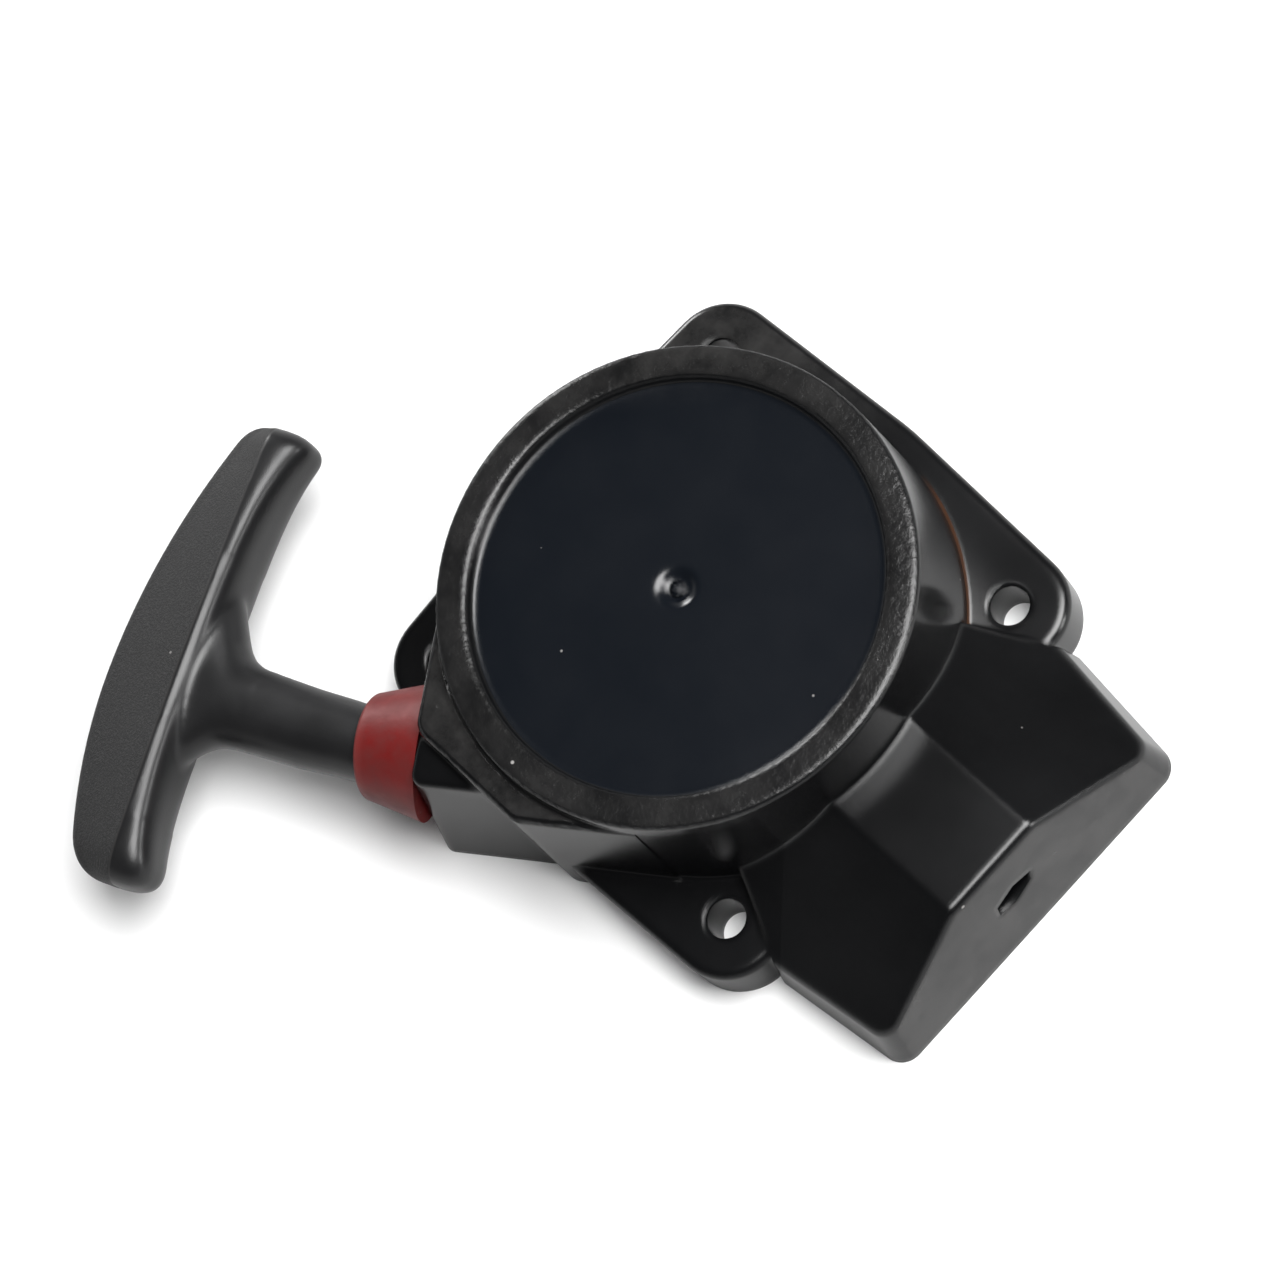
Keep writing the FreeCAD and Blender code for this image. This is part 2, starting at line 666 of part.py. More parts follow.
def make_handle():
    sections = []
    for index, (along, centre, deep, high) in enumerate(BAR_SECTIONS):
        section = doc.addObject("Part::Ellipse", "bar_section_%d" % index)
        section.MajorRadius = deep
        section.MinorRadius = high
        # an ellipse lies in XY; it is stood up so that its plane crosses the bar
        stand = Rotation(Vector(1, 0, 0), 90)
        spin = Rotation(Vector(0, 0, 1), size("handle_turn"))
        spot = in_handle_frame(centre, size("bar_middle_y") + along)
        section.Placement = Placement(spot, spin.multiply(stand))
        sections.append(section)
    bar = doc.addObject("Part::Loft", "bar")
    bar.Sections = sections
    bar.Solid = True
    bar.Ruled = False

    neck = doc.addObject("Part::Cone", "neck")
    bind(neck, Radius1="ball_r", Radius2="neck_r", Height="pocket_floor_x")
    lay_along(neck, "handle_turn", in_handle_frame(0))
    shoulder = doc.addObject("Part::Cone", "shoulder")
    bind(shoulder, Radius1="neck_r - 0.2", Radius2="neck_r + 0.9", Height="8")
    lay_along(shoulder, "handle_turn", in_handle_frame(26))
    ball = doc.addObject("Part::Sphere", "ball")
    bind(ball, Radius="ball_r")
    ball.Placement.Base = in_handle_frame(0)
    solid = combine("MultiFuse", "handle_solid", bar, [neck, shoulder, ball])

    bore = rod("handle_bore", "handle_bore_r", "60", turn="handle_turn", along="X")
    bore.Placement.Base = in_handle_frame(-10)
    flare = doc.addObject("Part::Cone", "handle_flare")
    bind(flare, Radius1="handle_bore_r + 8.01 * tan(28)", Radius2="handle_bore_r", Height="8")
    lay_along(flare, "handle_turn", in_handle_frame(-7.5))
    pocket = rod("knot_pocket", "pocket_r", "20", turn="handle_turn", along="X")
    pocket.Placement.Base = in_handle_frame(size("pocket_floor_x"))
    keep(combine("Cut", "handle_cut", solid, [bore, flare, pocket]), "handle_grip")

    plug = rod("plug_rod", "pocket_r", "plug_front_x - plug_x", turn="handle_turn", along="X")
    plug.Placement.Base = in_handle_frame(size("plug_x"))
    keep(plug, "handle_plug")

    washer = rod("knot_washer_rod", "pocket_r - 0.2", "1.2", turn="handle_turn", along="X")
    washer.Placement.Base = in_handle_frame(size("pocket_floor_x"))
    hole = rod("knot_washer_hole", "handle_bore_r", "3", turn="handle_turn", along="X")
    hole.Placement.Base = in_handle_frame(size("pocket_floor_x") - 1)
    keep(combine("Cut", "knot_washer_cut", washer, [hole]), "handle_knot_washer")

    knot = doc.addObject("Part::Sphere", "knot_ball")
    bind(knot, Radius="knot_r")
    knot_x = size("pocket_floor_x + 1.2 + knot_r - 0.6")
    knot.Placement.Base = in_handle_frame(knot_x)
    tail = rod("knot_tail", "rope_r", "%f" % (knot_x - 1.0), turn="handle_turn", along="X")
    tail.Placement.Base = in_handle_frame(1.0)
    loose = combine("MultiFuse", "knot_whole", knot, [tail])
    # the knot is pulled flat against its washer
    floor = doc.addObject("Part::Cylinder", "knot_floor")
    bind(floor, Radius="pocket_r", Height="pocket_floor_x")
    lay_along(floor, "handle_turn", in_handle_frame(1.2))
    shank = rod("knot_shank", "rope_r", "pocket_floor_x + 3", turn="handle_turn", along="X")
    shank.Placement.Base = in_handle_frame(1.0)
    flat = combine("Cut", "knot_flat", loose, [floor])
    keep(combine("MultiFuse", "knot_seated", flat, [shank]), "handle_rope_knot")


# ---------------------------------------------------------------- rope

def make_rope():
    """The stretch of rope from the reel to the handle's ball, and the turns on the reel."""
    lead_start = "sqrt(pow(rope_line + rope_r + 0.9; 2) - pow(rope_line - rope_r; 2))"
    lead = rod("rope_lead_rod", "rope_r", "guide_front_x - 0.3 - %s" % lead_start,
               turn="exit_turn", along="X")
    lead.Placement.Base = in_exit_frame(lead_start, "rope_line", "rope_level")
    keep(lead, "rope_lead")

    winding = turned("winding", (
        ("groove_r + 0.1", "groove_low + 0.2"), ("rope_line + rope_r", "groove_low + 0.2"),
        ("rope_line + rope_r + 0.6", "rope_level"),
        ("rope_line + rope_r", "groove_high - 0.2"), ("groove_r + 0.1", "groove_high - 0.2")))
    keep(winding, "rope_winding")

    knot = doc.addObject("Part::Sphere", "reel_knot")
    bind(knot, Radius="rope_r * 1.7")
    knot.Placement.Base = Vector(0, size("knot_seat_r"), size("rope_level"))
    keep(knot, "reel_rope_knot")


# ---------------------------------------------------------------- reel

def make_reel():
    body = turned("reel_body", (
        ("bush_r", "bush_low"), ("brake_pocket_r", "bush_low"),
        ("brake_pocket_r", "lower_hub_end"), ("lower_hub_r", "lower_hub_end"),
        ("lower_hub_r", "reel_low"), ("reel_r", "reel_low"),
        ("reel_r", "groove_low - 0.4"), ("groove_r", "groove_low"),
        ("groove_r", "groove_high"), ("reel_r", "groove_high + 0.4"),
        ("reel_r", "reel_high"), ("spring_hub_r", "reel_high"),
        ("spring_hub_r", "spring_hub_top"), ("bush_r", "spring_hub_top")))
    # coring between hub and groove keeps the moulding's walls even
    coring = new_sketch(body, "coring_outline", lift="reel_high")
    for step in range(6):
        turn = 60 * step
        inner = "(lower_hub_r + 1.4)"
        outer = "(groove_r - 7.2)"
        corners = []
        for radius, lean in ((inner, -18), (outer, -20), (outer, 20), (inner, 18)):
            corners.append(("%s * cos(%d)" % (radius, turn + lean),
                            "%s * sin(%d)" % (radius, turn + lean)))
        outline(coring, corners)
    cores = body.newObject("PartDesign::Pocket", "coring")
    cores.Profile = coring
    bind(cores, Length="reel_high - reel_low - 2.0")

    knot_well = rod("knot_well", "rope_r * 1.9", "8")
    knot_well.Placement.Base = Vector(0, size("knot_seat_r"), size("rope_level - rope_r * 1.9"))
    notch = doc.addObject("Part::Box", "hook_notch")
    bind(notch, Length="3", Width="1.4", Height="strip_wide + 1.4")
    notch.Placement.Base = Vector(size("spring_hub_r - 1.2"), -0.7, size("case_low + 0.2"))

    pins = [rod("pawl_pin_" + side, "pin_r", "groove_low - pawl_low - 0.1",
                x="pin_x * %d" % sign, z="pawl_low - 0.2") for side, sign in SIDES]
    pair = keep(combine("MultiFuse", "pawl_pins_pair", pins[0], pins[1:]), "pawl_pins")
    keep(combine("Cut", "reel_cut", body, [knot_well, notch, pair]), "reel")

    keep(ring("bush_ring", "post_r + running", "bush_r", "bush_low", "spring_hub_top"),
         "reel_bush")


# ---------------------------------------------------------------- spring cassette

def spiral_face(start_r, pitch, turns, thick):
    """A flat strip wound in half turns about two centres, as a face in XY."""
    shift = pitch / 4
    edges_in = []
    edges_out = []
    halves = int(turns * 2)
    for half in range(halves):
        radius = start_r + half * pitch / 2
        centre_x = -shift if half % 2 == 0 else shift
        for offset, edges in ((0.0, edges_in), (thick, edges_out)):
            start = math.pi * (half % 2)
            arc = Part.ArcOfCircle(
                Part.Circle(Vector(centre_x, 0, 0), Vector(0, 0, 1), radius + offset),
                start, start + math.pi)
            edges.append(arc.toShape())
    first_in = edges_in[0].valueAt(edges_in[0].FirstParameter)
    first_out = edges_out[0].valueAt(edges_out[0].FirstParameter)
    last_in = edges_in[-1].valueAt(edges_in[-1].LastParameter)
    last_out = edges_out[-1].valueAt(edges_out[-1].LastParameter)
    caps = [Part.makeLine(first_in, first_out), Part.makeLine(last_in, last_out)]
    wire = Part.Wire(Part.__sortEdges__(edges_in + edges_out + caps))
    return Part.Face(wire)


def make_spring():
    case = turned("case", (
        ("case_hole_r", "ceiling - case_wall"), ("case_r - case_wall", "ceiling - case_wall"),
        ("case_r - case_wall", "case_low"), ("case_r", "case_low"), ("case_r", "ceiling"),
        ("case_hole_r", "ceiling")))
    keep(case, "spring_case")

    keep(ring("cover", "case_hole_r", "case_r", "case_low - cover_thick", "case_low"),
         "spring_cover")

    # the wound strip has no native feature, so its shape is made from arcs and extruded
    strip = doc.addObject("Part::Feature", "strip")
    face = spiral_face(size("strip_start_r"), size("strip_pitch"), size("strip_turns"),
                       size("strip_thick"))
    strip.Shape = face.extrude(Vector(0, 0, size("strip_wide")))
    strip.Placement = Placement(Vector(0, 0, size("case_low + 0.5")), Rotation())
    keep(strip, "recoil_spring")


# ---------------------------------------------------------------- brake and pawls

def make_brake():
    coil = doc.addObject("Part::Helix", "brake_helix")
    bind(coil, Radius="post_r + 1.35", Pitch="brake_pitch", Height="brake_pitch * 2.6")
    wire = doc.addObject("Part::Circle", "brake_wire")
    bind(wire, Radius="brake_wire_r")
    wire.Placement = Placement(Vector(size("post_r + 1.35"), 0, 0),
                               Rotation(Vector(1, 0, 0), 90))
    spring = doc.addObject("Part::Sweep", "brake_coil")
    spring.Sections = [wire]
    spring.Spine = (coil, ["Edge1"])
    spring.Solid = True
    spring.Frenet = True
    place(spring, z="plate_low + plate_thick + 0.55")
    keep(spring, "brake_spring")

    plate = ring("plate_ring", "post_r + running", "plate_hub_r", "plate_low",
                 "plate_low + plate_thick")
    ears = new_sketch(plate, "ears", lift="plate_low")
    slots = new_sketch(plate, "slots", lift="plate_low + plate_thick")
    rest = Vector(size("pin_x - 0.4"), -size("peg_out"), 0)
    swung = Rotation(Vector(0, 0, 1), size("pawl_swing")).multVec(rest - Vector(size("pin_x"), 0, 0))
    swung = swung + Vector(size("pin_x"), 0, 0)
    reached = Rotation(Vector(0, 0, 1), -size("plate_swing")).multVec(swung)
    for _, sign in SIDES:
        outline(ears, (
            ("%d * 6" % sign, "0"),
            ("%d * (pin_x - 2.8)" % sign, "%d * -1.8" % sign),
            ("%d * plate_r * cos(9)" % sign, "%d * -plate_r * sin(9)" % sign),
            ("%d * plate_r * cos(24)" % sign, "%d * -plate_r * sin(24)" % sign),
            ("%d * plate_r * cos(38)" % sign, "%d * -plate_r * sin(38)" % sign),
            ("%d * 5" % sign, "%d * -7" % sign)))
        half = size("peg_r") + 0.45
        along = (reached - rest)
        along.normalize()
        across = Vector(-along.y, along.x, 0)
        corners = []
        for point, step in ((rest - along * half, -1), (rest - along * half, 1),
                            (reached + along * half, 1), (reached + along * half, -1)):
            spot = (point + across * half * step) * sign
            corners.append(("%.4f" % spot.x, "%.4f" % spot.y))
        outline(slots, corners)
    pad(plate, ears, "plate_thick", "plate_ears")
    cut = plate.newObject("PartDesign::Pocket", "plate_slots")
    cut.Profile = slots
    bind(cut, Length="plate_thick + 1")
    keep(plate, "friction_plate")


def make_pawl(name, sign):
    """A pawl lying along its reel, with a peg that runs in the friction plate's slot."""
    body = new_body(name + "_body")
    blade = new_sketch(body, name + "_blade", lift="pawl_low")
    outline(blade, (
        ("pin_x - pawl_boss_r", "0.8"), ("pin_x - 0.9", "pawl_boss_r"),
        ("pin_x + 1.6", "pawl_boss_r - 0.2"), ("pin_x + pawl_boss_r", "0.6"),
        ("pin_x + 2.6", "-pawl_long + 1.2"), ("pin_x + 1.6", "-pawl_long"),
        ("pin_x - 1.4", "-pawl_long + 2.2"), ("pin_x - 3.0", "-4")))
    pad(body, blade, "pawl_high - pawl_low", name + "_blade_pad")
    peg = circle(new_sketch(body, name + "_peg", lift="plate_low + 0.2"),
                 "pin_x - 0.4", "-peg_out", "peg_r")
    pad(body, peg, "pawl_low - plate_low", name + "_peg_pad")
    eye = circle(new_sketch(body, name + "_eye", lift="pawl_high + 1"),
                 "pin_x", "0", "pin_r + running")
    hole = body.newObject("PartDesign::Pocket", name + "_hole")
    hole.Profile = eye
    bind(hole, Length="pawl_high - pawl_low + 2")
    place(body, "0" if sign > 0 else "180")
    keep(body, name)


def make_fasteners():
    keep(ring("washer_ring", "screw_r + 0.1", "washer_r", "post_end - washer_thick", "post_end"),
         "retaining_washer")
    head_top = "(post_end - washer_thick)"
    screw = turned("screw", (
        ("0", "%s - screw_head_thick" % head_top),
        ("screw_head_r - 1.2", "%s - screw_head_thick" % head_top),
        ("screw_head_r", "%s - screw_head_thick + 1.1" % head_top),
        ("screw_head_r", head_top), ("screw_r", head_top),
        ("screw_r", "post_hole_top - 2"), ("screw_r - 1", "post_hole_top - 1"),
        ("0", "post_hole_top - 1")))
    doc.recompute()
    cross = new_sketch(screw, "cross_recess", lift="%s - screw_head_thick" % head_top)
    arm = "(screw_head_r * 0.62)"
    half = "0.55"
    outline(cross, (
        (arm, half), (half, half), (half, arm), ("-" + half, arm), ("-" + half, half),
        ("-" + arm, half), ("-" + arm, "-" + half), ("-" + half, "-" + half),
        ("-" + half, "-" + arm), (half, "-" + arm), (half, "-" + half), (arm, "-" + half)))
    recess = screw.newObject("PartDesign::Pocket", "cross_recess_cut")
    recess.Profile = cross
    recess.Reversed = True
    bind(recess, Length="1.5")
    keep(screw, "retaining_screw")
    keep(ring("thrust_ring", "case_hole_r + 0.6", "case_hole_r + 6", "reel_high + 0.15",
              "case_low - cover_thick - 0.15"), "thrust_washer")


make_housing()
make_rope_guide()
make_handle()
make_rope()
make_reel()
make_spring()
make_brake()
make_pawl("pawl_1", 1)
make_pawl("pawl_2", -1)
make_fasteners()
doc.recompute()

for item in doc.Objects:
    if "Invalid" in item.State or "Error" in item.State:
        raise RuntimeError("%s failed to build: %s" % (item.Name, item.State))

os.makedirs("parts", exist_ok=True)
for label, item in finished.items():
    shape = item.Shape
    if shape.isNull() or not shape.isValid() or shape.Volume <= 0:
        raise RuntimeError("%s has no valid shape" % label)
    box = shape.optimalBoundingBox()
    print("%-20s %2d solid(s) %9.1f mm3  z %6.2f..%6.2f" % (
        label, len(shape.Solids), shape.Volume, box.ZMin, box.ZMax))
    shape.exportStep("parts/%s.step" % label)
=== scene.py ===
import json
import math

import bpy
from mathutils import Matrix, Vector


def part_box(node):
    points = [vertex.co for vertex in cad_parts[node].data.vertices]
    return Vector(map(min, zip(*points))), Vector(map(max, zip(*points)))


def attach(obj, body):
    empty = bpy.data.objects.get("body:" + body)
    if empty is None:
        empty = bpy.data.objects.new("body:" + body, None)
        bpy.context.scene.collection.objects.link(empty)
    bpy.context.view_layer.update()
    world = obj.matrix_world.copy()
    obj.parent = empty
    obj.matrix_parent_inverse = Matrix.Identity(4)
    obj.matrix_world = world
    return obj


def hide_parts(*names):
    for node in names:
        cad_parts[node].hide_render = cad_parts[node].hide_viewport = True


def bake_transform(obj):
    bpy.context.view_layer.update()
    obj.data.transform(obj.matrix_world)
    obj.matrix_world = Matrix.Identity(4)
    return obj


bl_info = {
    "name": "Recoil starter",
    "version": (1, 0, 0),
    "blender": (4, 5, 0),
    "location": "3D View > Sidebar > Starter",
    "description": "Looks for a small engine's pull starter, built round its packed model",
    "category": "Object",
}

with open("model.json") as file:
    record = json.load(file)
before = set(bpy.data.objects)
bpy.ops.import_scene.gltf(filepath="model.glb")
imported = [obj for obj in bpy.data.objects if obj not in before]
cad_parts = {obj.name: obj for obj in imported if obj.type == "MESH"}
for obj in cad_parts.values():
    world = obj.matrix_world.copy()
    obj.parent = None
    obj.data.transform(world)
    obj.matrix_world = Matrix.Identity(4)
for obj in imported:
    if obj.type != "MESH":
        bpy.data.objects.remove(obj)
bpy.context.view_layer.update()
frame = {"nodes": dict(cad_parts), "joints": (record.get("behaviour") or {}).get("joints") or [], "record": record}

MM = 0.001
JOINTS = {joint["name"]: joint for joint in frame["joints"]}

# The rope leaves along this level direction; the handle's ball sits at the swing joint.
LEAVING = Vector(JOINTS["handle_pull"]["axis"]).normalized()
LEAVING_TURN = math.atan2(LEAVING.y, LEAVING.x)
BESIDE = Vector((-LEAVING.y, LEAVING.x, 0.0))
BALL = Vector(JOINTS["handle_swing"]["pos_m"])

# The handle hangs limp on its rope, so its neck lies a little off the rope's line.
NECK_TURN = math.radians(204.4)

DRUM_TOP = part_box("housing")[1].z
GUIDE_FRONT = BALL.dot(LEAVING)
ROPE_LINE = BALL.dot(BESIDE)


def on_rope_line(along):
    """The point of the rope's line that lies this far out from the drum's middle."""
    return BESIDE * ROPE_LINE + LEAVING * along + Vector((0, 0, BALL.z))


def shade(colour, share):
    """A colour, darker or lighter by one share."""
    return tuple(share * part for part in colour)


# ---------------------------------------------------------------- settings

class StarterSizes(bpy.types.PropertyGroup):
    """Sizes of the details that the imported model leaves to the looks."""
    rope_thick: bpy.props.FloatProperty(
        name="Rope", description="Thickness of the starter rope",
        default=3.0 * MM, unit="LENGTH")
    neck_thick: bpy.props.FloatProperty(
        name="Neck", description="Thickness of the handle's neck at its ball",
        default=13.2 * MM, unit="LENGTH")
    bar_half: bpy.props.FloatProperty(
        name="Half bar", description="Half the length of the handle's bar",
        default=42.1 * MM, unit="LENGTH")
    bar_middle: bpy.props.FloatProperty(
        name="Bar's middle", description="How far the bar's middle lies to one side of the neck",
        default=-6.3 * MM, unit="LENGTH")
    palm_x: bpy.props.FloatProperty(
        name="Palm edge", description="From the ball to the palm's edge of the bar",
        default=51.4 * MM, unit="LENGTH")
    crease_x: bpy.props.FloatProperty(
        name="Crease", description="From the ball to the crease along the bar",
        default=36.0 * MM, unit="LENGTH")
    finger_x: bpy.props.FloatProperty(
        name="Finger side", description="From the ball to the fingers' side of the bar",
        default=32.9 * MM, unit="LENGTH")
    bar_high: bpy.props.FloatProperty(
        name="Half height", description="Half the height of the bar at its middle",
        default=8.2 * MM, unit="LENGTH")
    grain: bpy.props.FloatProperty(
        name="Grain", description="Size of the grain on the moulded handle",
        default=0.35 * MM, unit="LENGTH")
    shot_size: bpy.props.FloatProperty(
        name="Gate mark", description="Width of the broken gate in the drum's dimple",
        default=3.0 * MM, unit="LENGTH")


class StarterColours(bpy.types.PropertyGroup):
    """Base colours of the finishes."""
    housing: bpy.props.FloatVectorProperty(
        name="Housing", description="Moulded black of the housing", subtype="COLOR",
        default=(0.0026, 0.0027, 0.0030))
    disc: bpy.props.FloatVectorProperty(
        name="Disc", description="Blue-black of the drum's recessed top", subtype="COLOR",
        default=(0.0036, 0.0050, 0.0076))
    handle: bpy.props.FloatVectorProperty(
        name="Handle", description="Matt black of the handle", subtype="COLOR",
        default=(0.0088, 0.0088, 0.0093))
    guide: bpy.props.FloatVectorProperty(
        name="Guide", description="Dull red of the rope guide", subtype="COLOR",
        default=(0.155, 0.0046, 0.0040))
    dust: bpy.props.FloatVectorProperty(
        name="Dust", description="Grey of the dust", subtype="COLOR",
        default=(0.32, 0.31, 0.30))
    rope: bpy.props.FloatVectorProperty(
        name="Rope", description="Off-white of the braided rope", subtype="COLOR",
        default=(0.60, 0.58, 0.53))
    floor: bpy.props.FloatVectorProperty(
        name="Floor", description="White of the floor", subtype="COLOR",
        default=(0.90, 0.90, 0.90))


# ---------------------------------------------------------------- finishes

class Finish:
    """A procedural material, built node by node round one Principled shader."""

    def __init__(self, name, **sockets):
        self.material = bpy.data.materials.new(name)
        self.material.use_nodes = True
        self.tree = self.material.node_tree
        self.shader = self.tree.nodes["Principled BSDF"]
        for socket, value in sockets.items():
            self.shader.inputs[socket.replace("_", " ")].default_value = value
        self.place = self.add("ShaderNodeTexCoord").outputs["Object"]

    def add(self, kind, sockets=None, **settings):
        """A new node; each socket takes a value or another node's output."""
        made = self.tree.nodes.new(kind)
        for name, value in settings.items():
            setattr(made, name, value)
        for key, value in (sockets or {}).items():
            if isinstance(value, bpy.types.NodeSocket):
                self.tree.links.new(value, made.inputs[key])
            else:
                made.inputs[key].default_value = value
        return made

    def calc(self, operation, first, second=0.0):
        """One step of arithmetic on values or other nodes' outputs."""
        return self.add("ShaderNodeMath", {0: first, 1: second}, operation=operation).outputs[0]

    def times(self, *factors):
        """A product; of masks, the region where all of them hold."""
        product = factors[0]
        for factor in factors[1:]:
            product = self.calc("MULTIPLY", product, factor)
        return product

    def plus(self, first, second):
        return self.calc("ADD", first, second)

    def above(self, value, limit):
        return self.calc("GREATER_THAN", value, limit)

    def below(self, value, limit):
        return self.calc("LESS_THAN", value, limit)

    def noise(self, scale, detail=2.0, rough=0.5, place=None):
        return self.add("ShaderNodeTexNoise", {
            "Vector": place or self.place, "Scale": scale, "Detail": detail,
            "Roughness": rough}).outputs["Fac"]

    def range(self, value, low, high, start=0.0, stop=1.0, soft=False):
        """Carry a value from low..high to start..stop, and no further."""
        made = self.add("ShaderNodeMapRange", {
            "Value": value, "From Min": low, "From Max": high, "To Min": start, "To Max": stop})
        if soft:
            made.interpolation_type = "SMOOTHSTEP"
        return made.outputs["Result"]

    def axes(self, place=None):
        split = self.add("ShaderNodeSeparateXYZ", {"Vector": place or self.place})
        return split.outputs["X"], split.outputs["Y"], split.outputs["Z"]

    def turned_to(self, origin, turn):
        """Coordinates counted from a point, along axes turned about Z."""
        back = Matrix.Rotation(-turn, 3, "Z")
        return self.add("ShaderNodeMapping", {
            "Vector": self.place, "Location": -(back @ Vector(origin)),
            "Rotation": (0.0, 0.0, -turn)}).outputs["Vector"]

    def mix(self, share, first, second):
        """A colour between two; each is a colour or another node's output."""
        made = self.add("ShaderNodeMix", data_type="RGBA")
        for index, value in ((0, share), (6, first), (7, second)):
            if isinstance(value, bpy.types.NodeSocket):
                self.tree.links.new(value, made.inputs[index])
            elif index == 0:
                made.inputs[index].default_value = value
            else:
                made.inputs[index].default_value = (*value[:3], 1.0)
        return made.outputs[2]

    def set(self, socket, output):
        self.tree.links.new(output, self.shader.inputs[socket])

    def bump(self, height, distance, strength, under=None):
        """Relief over any relief that is already under it."""
        made = self.add("ShaderNodeBump", {
            "Height": height, "Distance": distance, "Strength": strength})
        if under is not None:
            self.tree.links.new(under, made.inputs["Normal"])
        self.set("Normal", made.outputs["Normal"])
        return made.outputs["Normal"]

    def specks(self, scale, size, share):
        """Scattered grains: 1 on a few small dots, 0 between them."""
        dots = self.add("ShaderNodeTexVoronoi", {"Vector": self.place, "Scale": scale})
        dot = self.range(dots.outputs["Distance"], size, size * 0.6)
        chosen = self.below(self.axes(dots.outputs["Color"])[0], share)
        return self.times(dot, chosen)


def housing_regions(finish):
    """Masks, 0 to 1, for the parts of the moulding that look different from the rest."""
    x, y, z = finish.axes()
    along, aside, _ = finish.axes(finish.turned_to((0, 0, 0), LEAVING_TURN))
    facing = finish.axes(finish.add("ShaderNodeNewGeometry").outputs["Normal"])
    from_middle = finish.calc("SQRT", finish.plus(finish.times(x, x), finish.times(y, y)))
    heading = finish.calc("ARCTAN2", y, x)
    disc_edge = 35.4 * MM
    disc_level = DRUM_TOP - 4.0 * MM
    duct_level = DRUM_TOP - 4.6 * MM
    rim_level = DRUM_TOP - 1.2 * MM
    flange_level = 10.2 * MM
    hood_end = 62.0 * MM
    outside_drum = finish.range(from_middle, 41.6 * MM, 42.4 * MM)
    stained_arc = finish.times(finish.range(heading, 0.60, 0.72), finish.range(heading, 1.40, 1.25))
    drum_foot = finish.times(finish.range(from_middle, 43.0 * MM, 42.7 * MM),
                             finish.range(z, 11.1 * MM, 10.8 * MM))
    return {
        "faces up": finish.range(facing[2], 0.90, 0.99),
        "disc": finish.times(finish.below(from_middle, disc_edge), finish.above(z, disc_level)),
        "rim": finish.times(finish.above(from_middle, disc_edge), finish.above(z, rim_level)),
        "duct top": finish.times(outside_drum, finish.above(z, duct_level),
                                 finish.above(aside, 5 * MM)),
        "duct box": finish.times(finish.above(aside, 30 * MM), finish.below(z, disc_level),
                                 finish.above(along, -20 * MM)),
        "far corner": finish.range(finish.calc("SUBTRACT", y, x), 44 * MM, 74 * MM),
        "hood's end": finish.times(finish.range(facing[0], 0.92, 0.98), finish.above(x, hood_end)),
        "stain": finish.times(stained_arc, drum_foot, finish.above(z, flange_level)),
    }


def housing_dust_and_sheen(finish, regions):
    """How far to pale towards dust grey: real dust, most on what faces up, above all round the rim, and a painted
    sheen, partly dust, on the hood's end, the duct top and the far corner.
    """
    thin_everywhere = 0.002
    # dust on the rim; on the duct top the paler patches are partly dust, partly painted highlight
    lying_and_sheen = finish.plus(finish.times(regions["rim"], 0.03), finish.times(regions["duct top"], 0.05))
    # the flange's top is paled towards the far corner: partly a dust haze, partly painted light from the far side
    lying_and_sheen = finish.plus(lying_and_sheen, finish.times(regions["far corner"], 0.06))
    # the hood's end face is paled partly as a dust film and partly as a painted reflection of the bright floor
    clinging_and_sheen = finish.plus(finish.times(regions["hood's end"], 0.085), thin_everywhere)
    dust_and_sheen = finish.plus(finish.times(regions["faces up"], lying_and_sheen), clinging_and_sheen)
    film = finish.noise(110.0, detail=6.0, rough=0.7)
    return finish.times(finish.range(film, 0.35, 0.70, 0.25, 1.5), dust_and_sheen)


def housing_relief(finish, regions):
    """Rounded corners, a fine skin, a rough duct, scrapes on the rim and slow waves."""
    corner = finish.add("ShaderNodeBevel", {"Radius": 1.7 * MM}, samples=8)
    skin = finish.bump(finish.noise(900.0, detail=3.0), 0.02 * MM, 0.35,
                       corner.outputs["Normal"])
    rough_cast = finish.times(finish.noise(210.0, detail=2.5, rough=0.5), regions["duct top"])
    skin = finish.bump(rough_cast, 0.9 * MM, 0.8, skin)
    scrapes = finish.times(finish.noise(650.0, detail=4.0, rough=0.6), regions["rim"])
    skin = finish.bump(scrapes, 0.16 * MM, 0.8, skin)
    finish.bump(finish.noise(14.0, detail=1.0), 0.5 * MM, 0.35, skin)


def housing_finish(colours):
    """Black moulded plastic: satin walls, a smooth disc on top and a rough-cast duct."""
    finish = Finish("housing_black", IOR=1.5)
    regions = housing_regions(finish)
    old_grease = (0.10, 0.034, 0.010)

    flow = finish.noise(26.0, detail=4.0, rough=0.6)
    colour = finish.mix(finish.range(flow, 0.35, 0.7), colours.housing,
                        shade(colours.housing, 1.7))
    colour = finish.mix(regions["disc"], colour, colours.disc)
    # dust grey: real dust, and in part painted sheen on the hood's end, the duct top and the far corner
    colour = finish.mix(housing_dust_and_sheen(finish, regions), colour, colours.dust)
    grains = finish.specks(260.0, 0.10, 0.05)
    colour = finish.mix(finish.times(grains, 0.8), colour, colours.dust)
    colour = finish.mix(finish.times(regions["stain"], 0.38), colour, old_grease)
    finish.set("Base Color", colour)

    # the duct's side box is duller than the rest, and its top is glossier
    finish.set("Specular IOR Level", finish.range(regions["duct box"], 0.0, 1.0, 0.5, 0.25))
    roughness = finish.range(flow, 0.3, 0.7, 0.18, 0.24)
    roughness = finish.calc("SUBTRACT", roughness, finish.times(regions["duct top"], 0.06))
    finish.set("Roughness", finish.plus(roughness, finish.times(grains, 0.4)))
    housing_relief(finish, regions)
    return finish.material


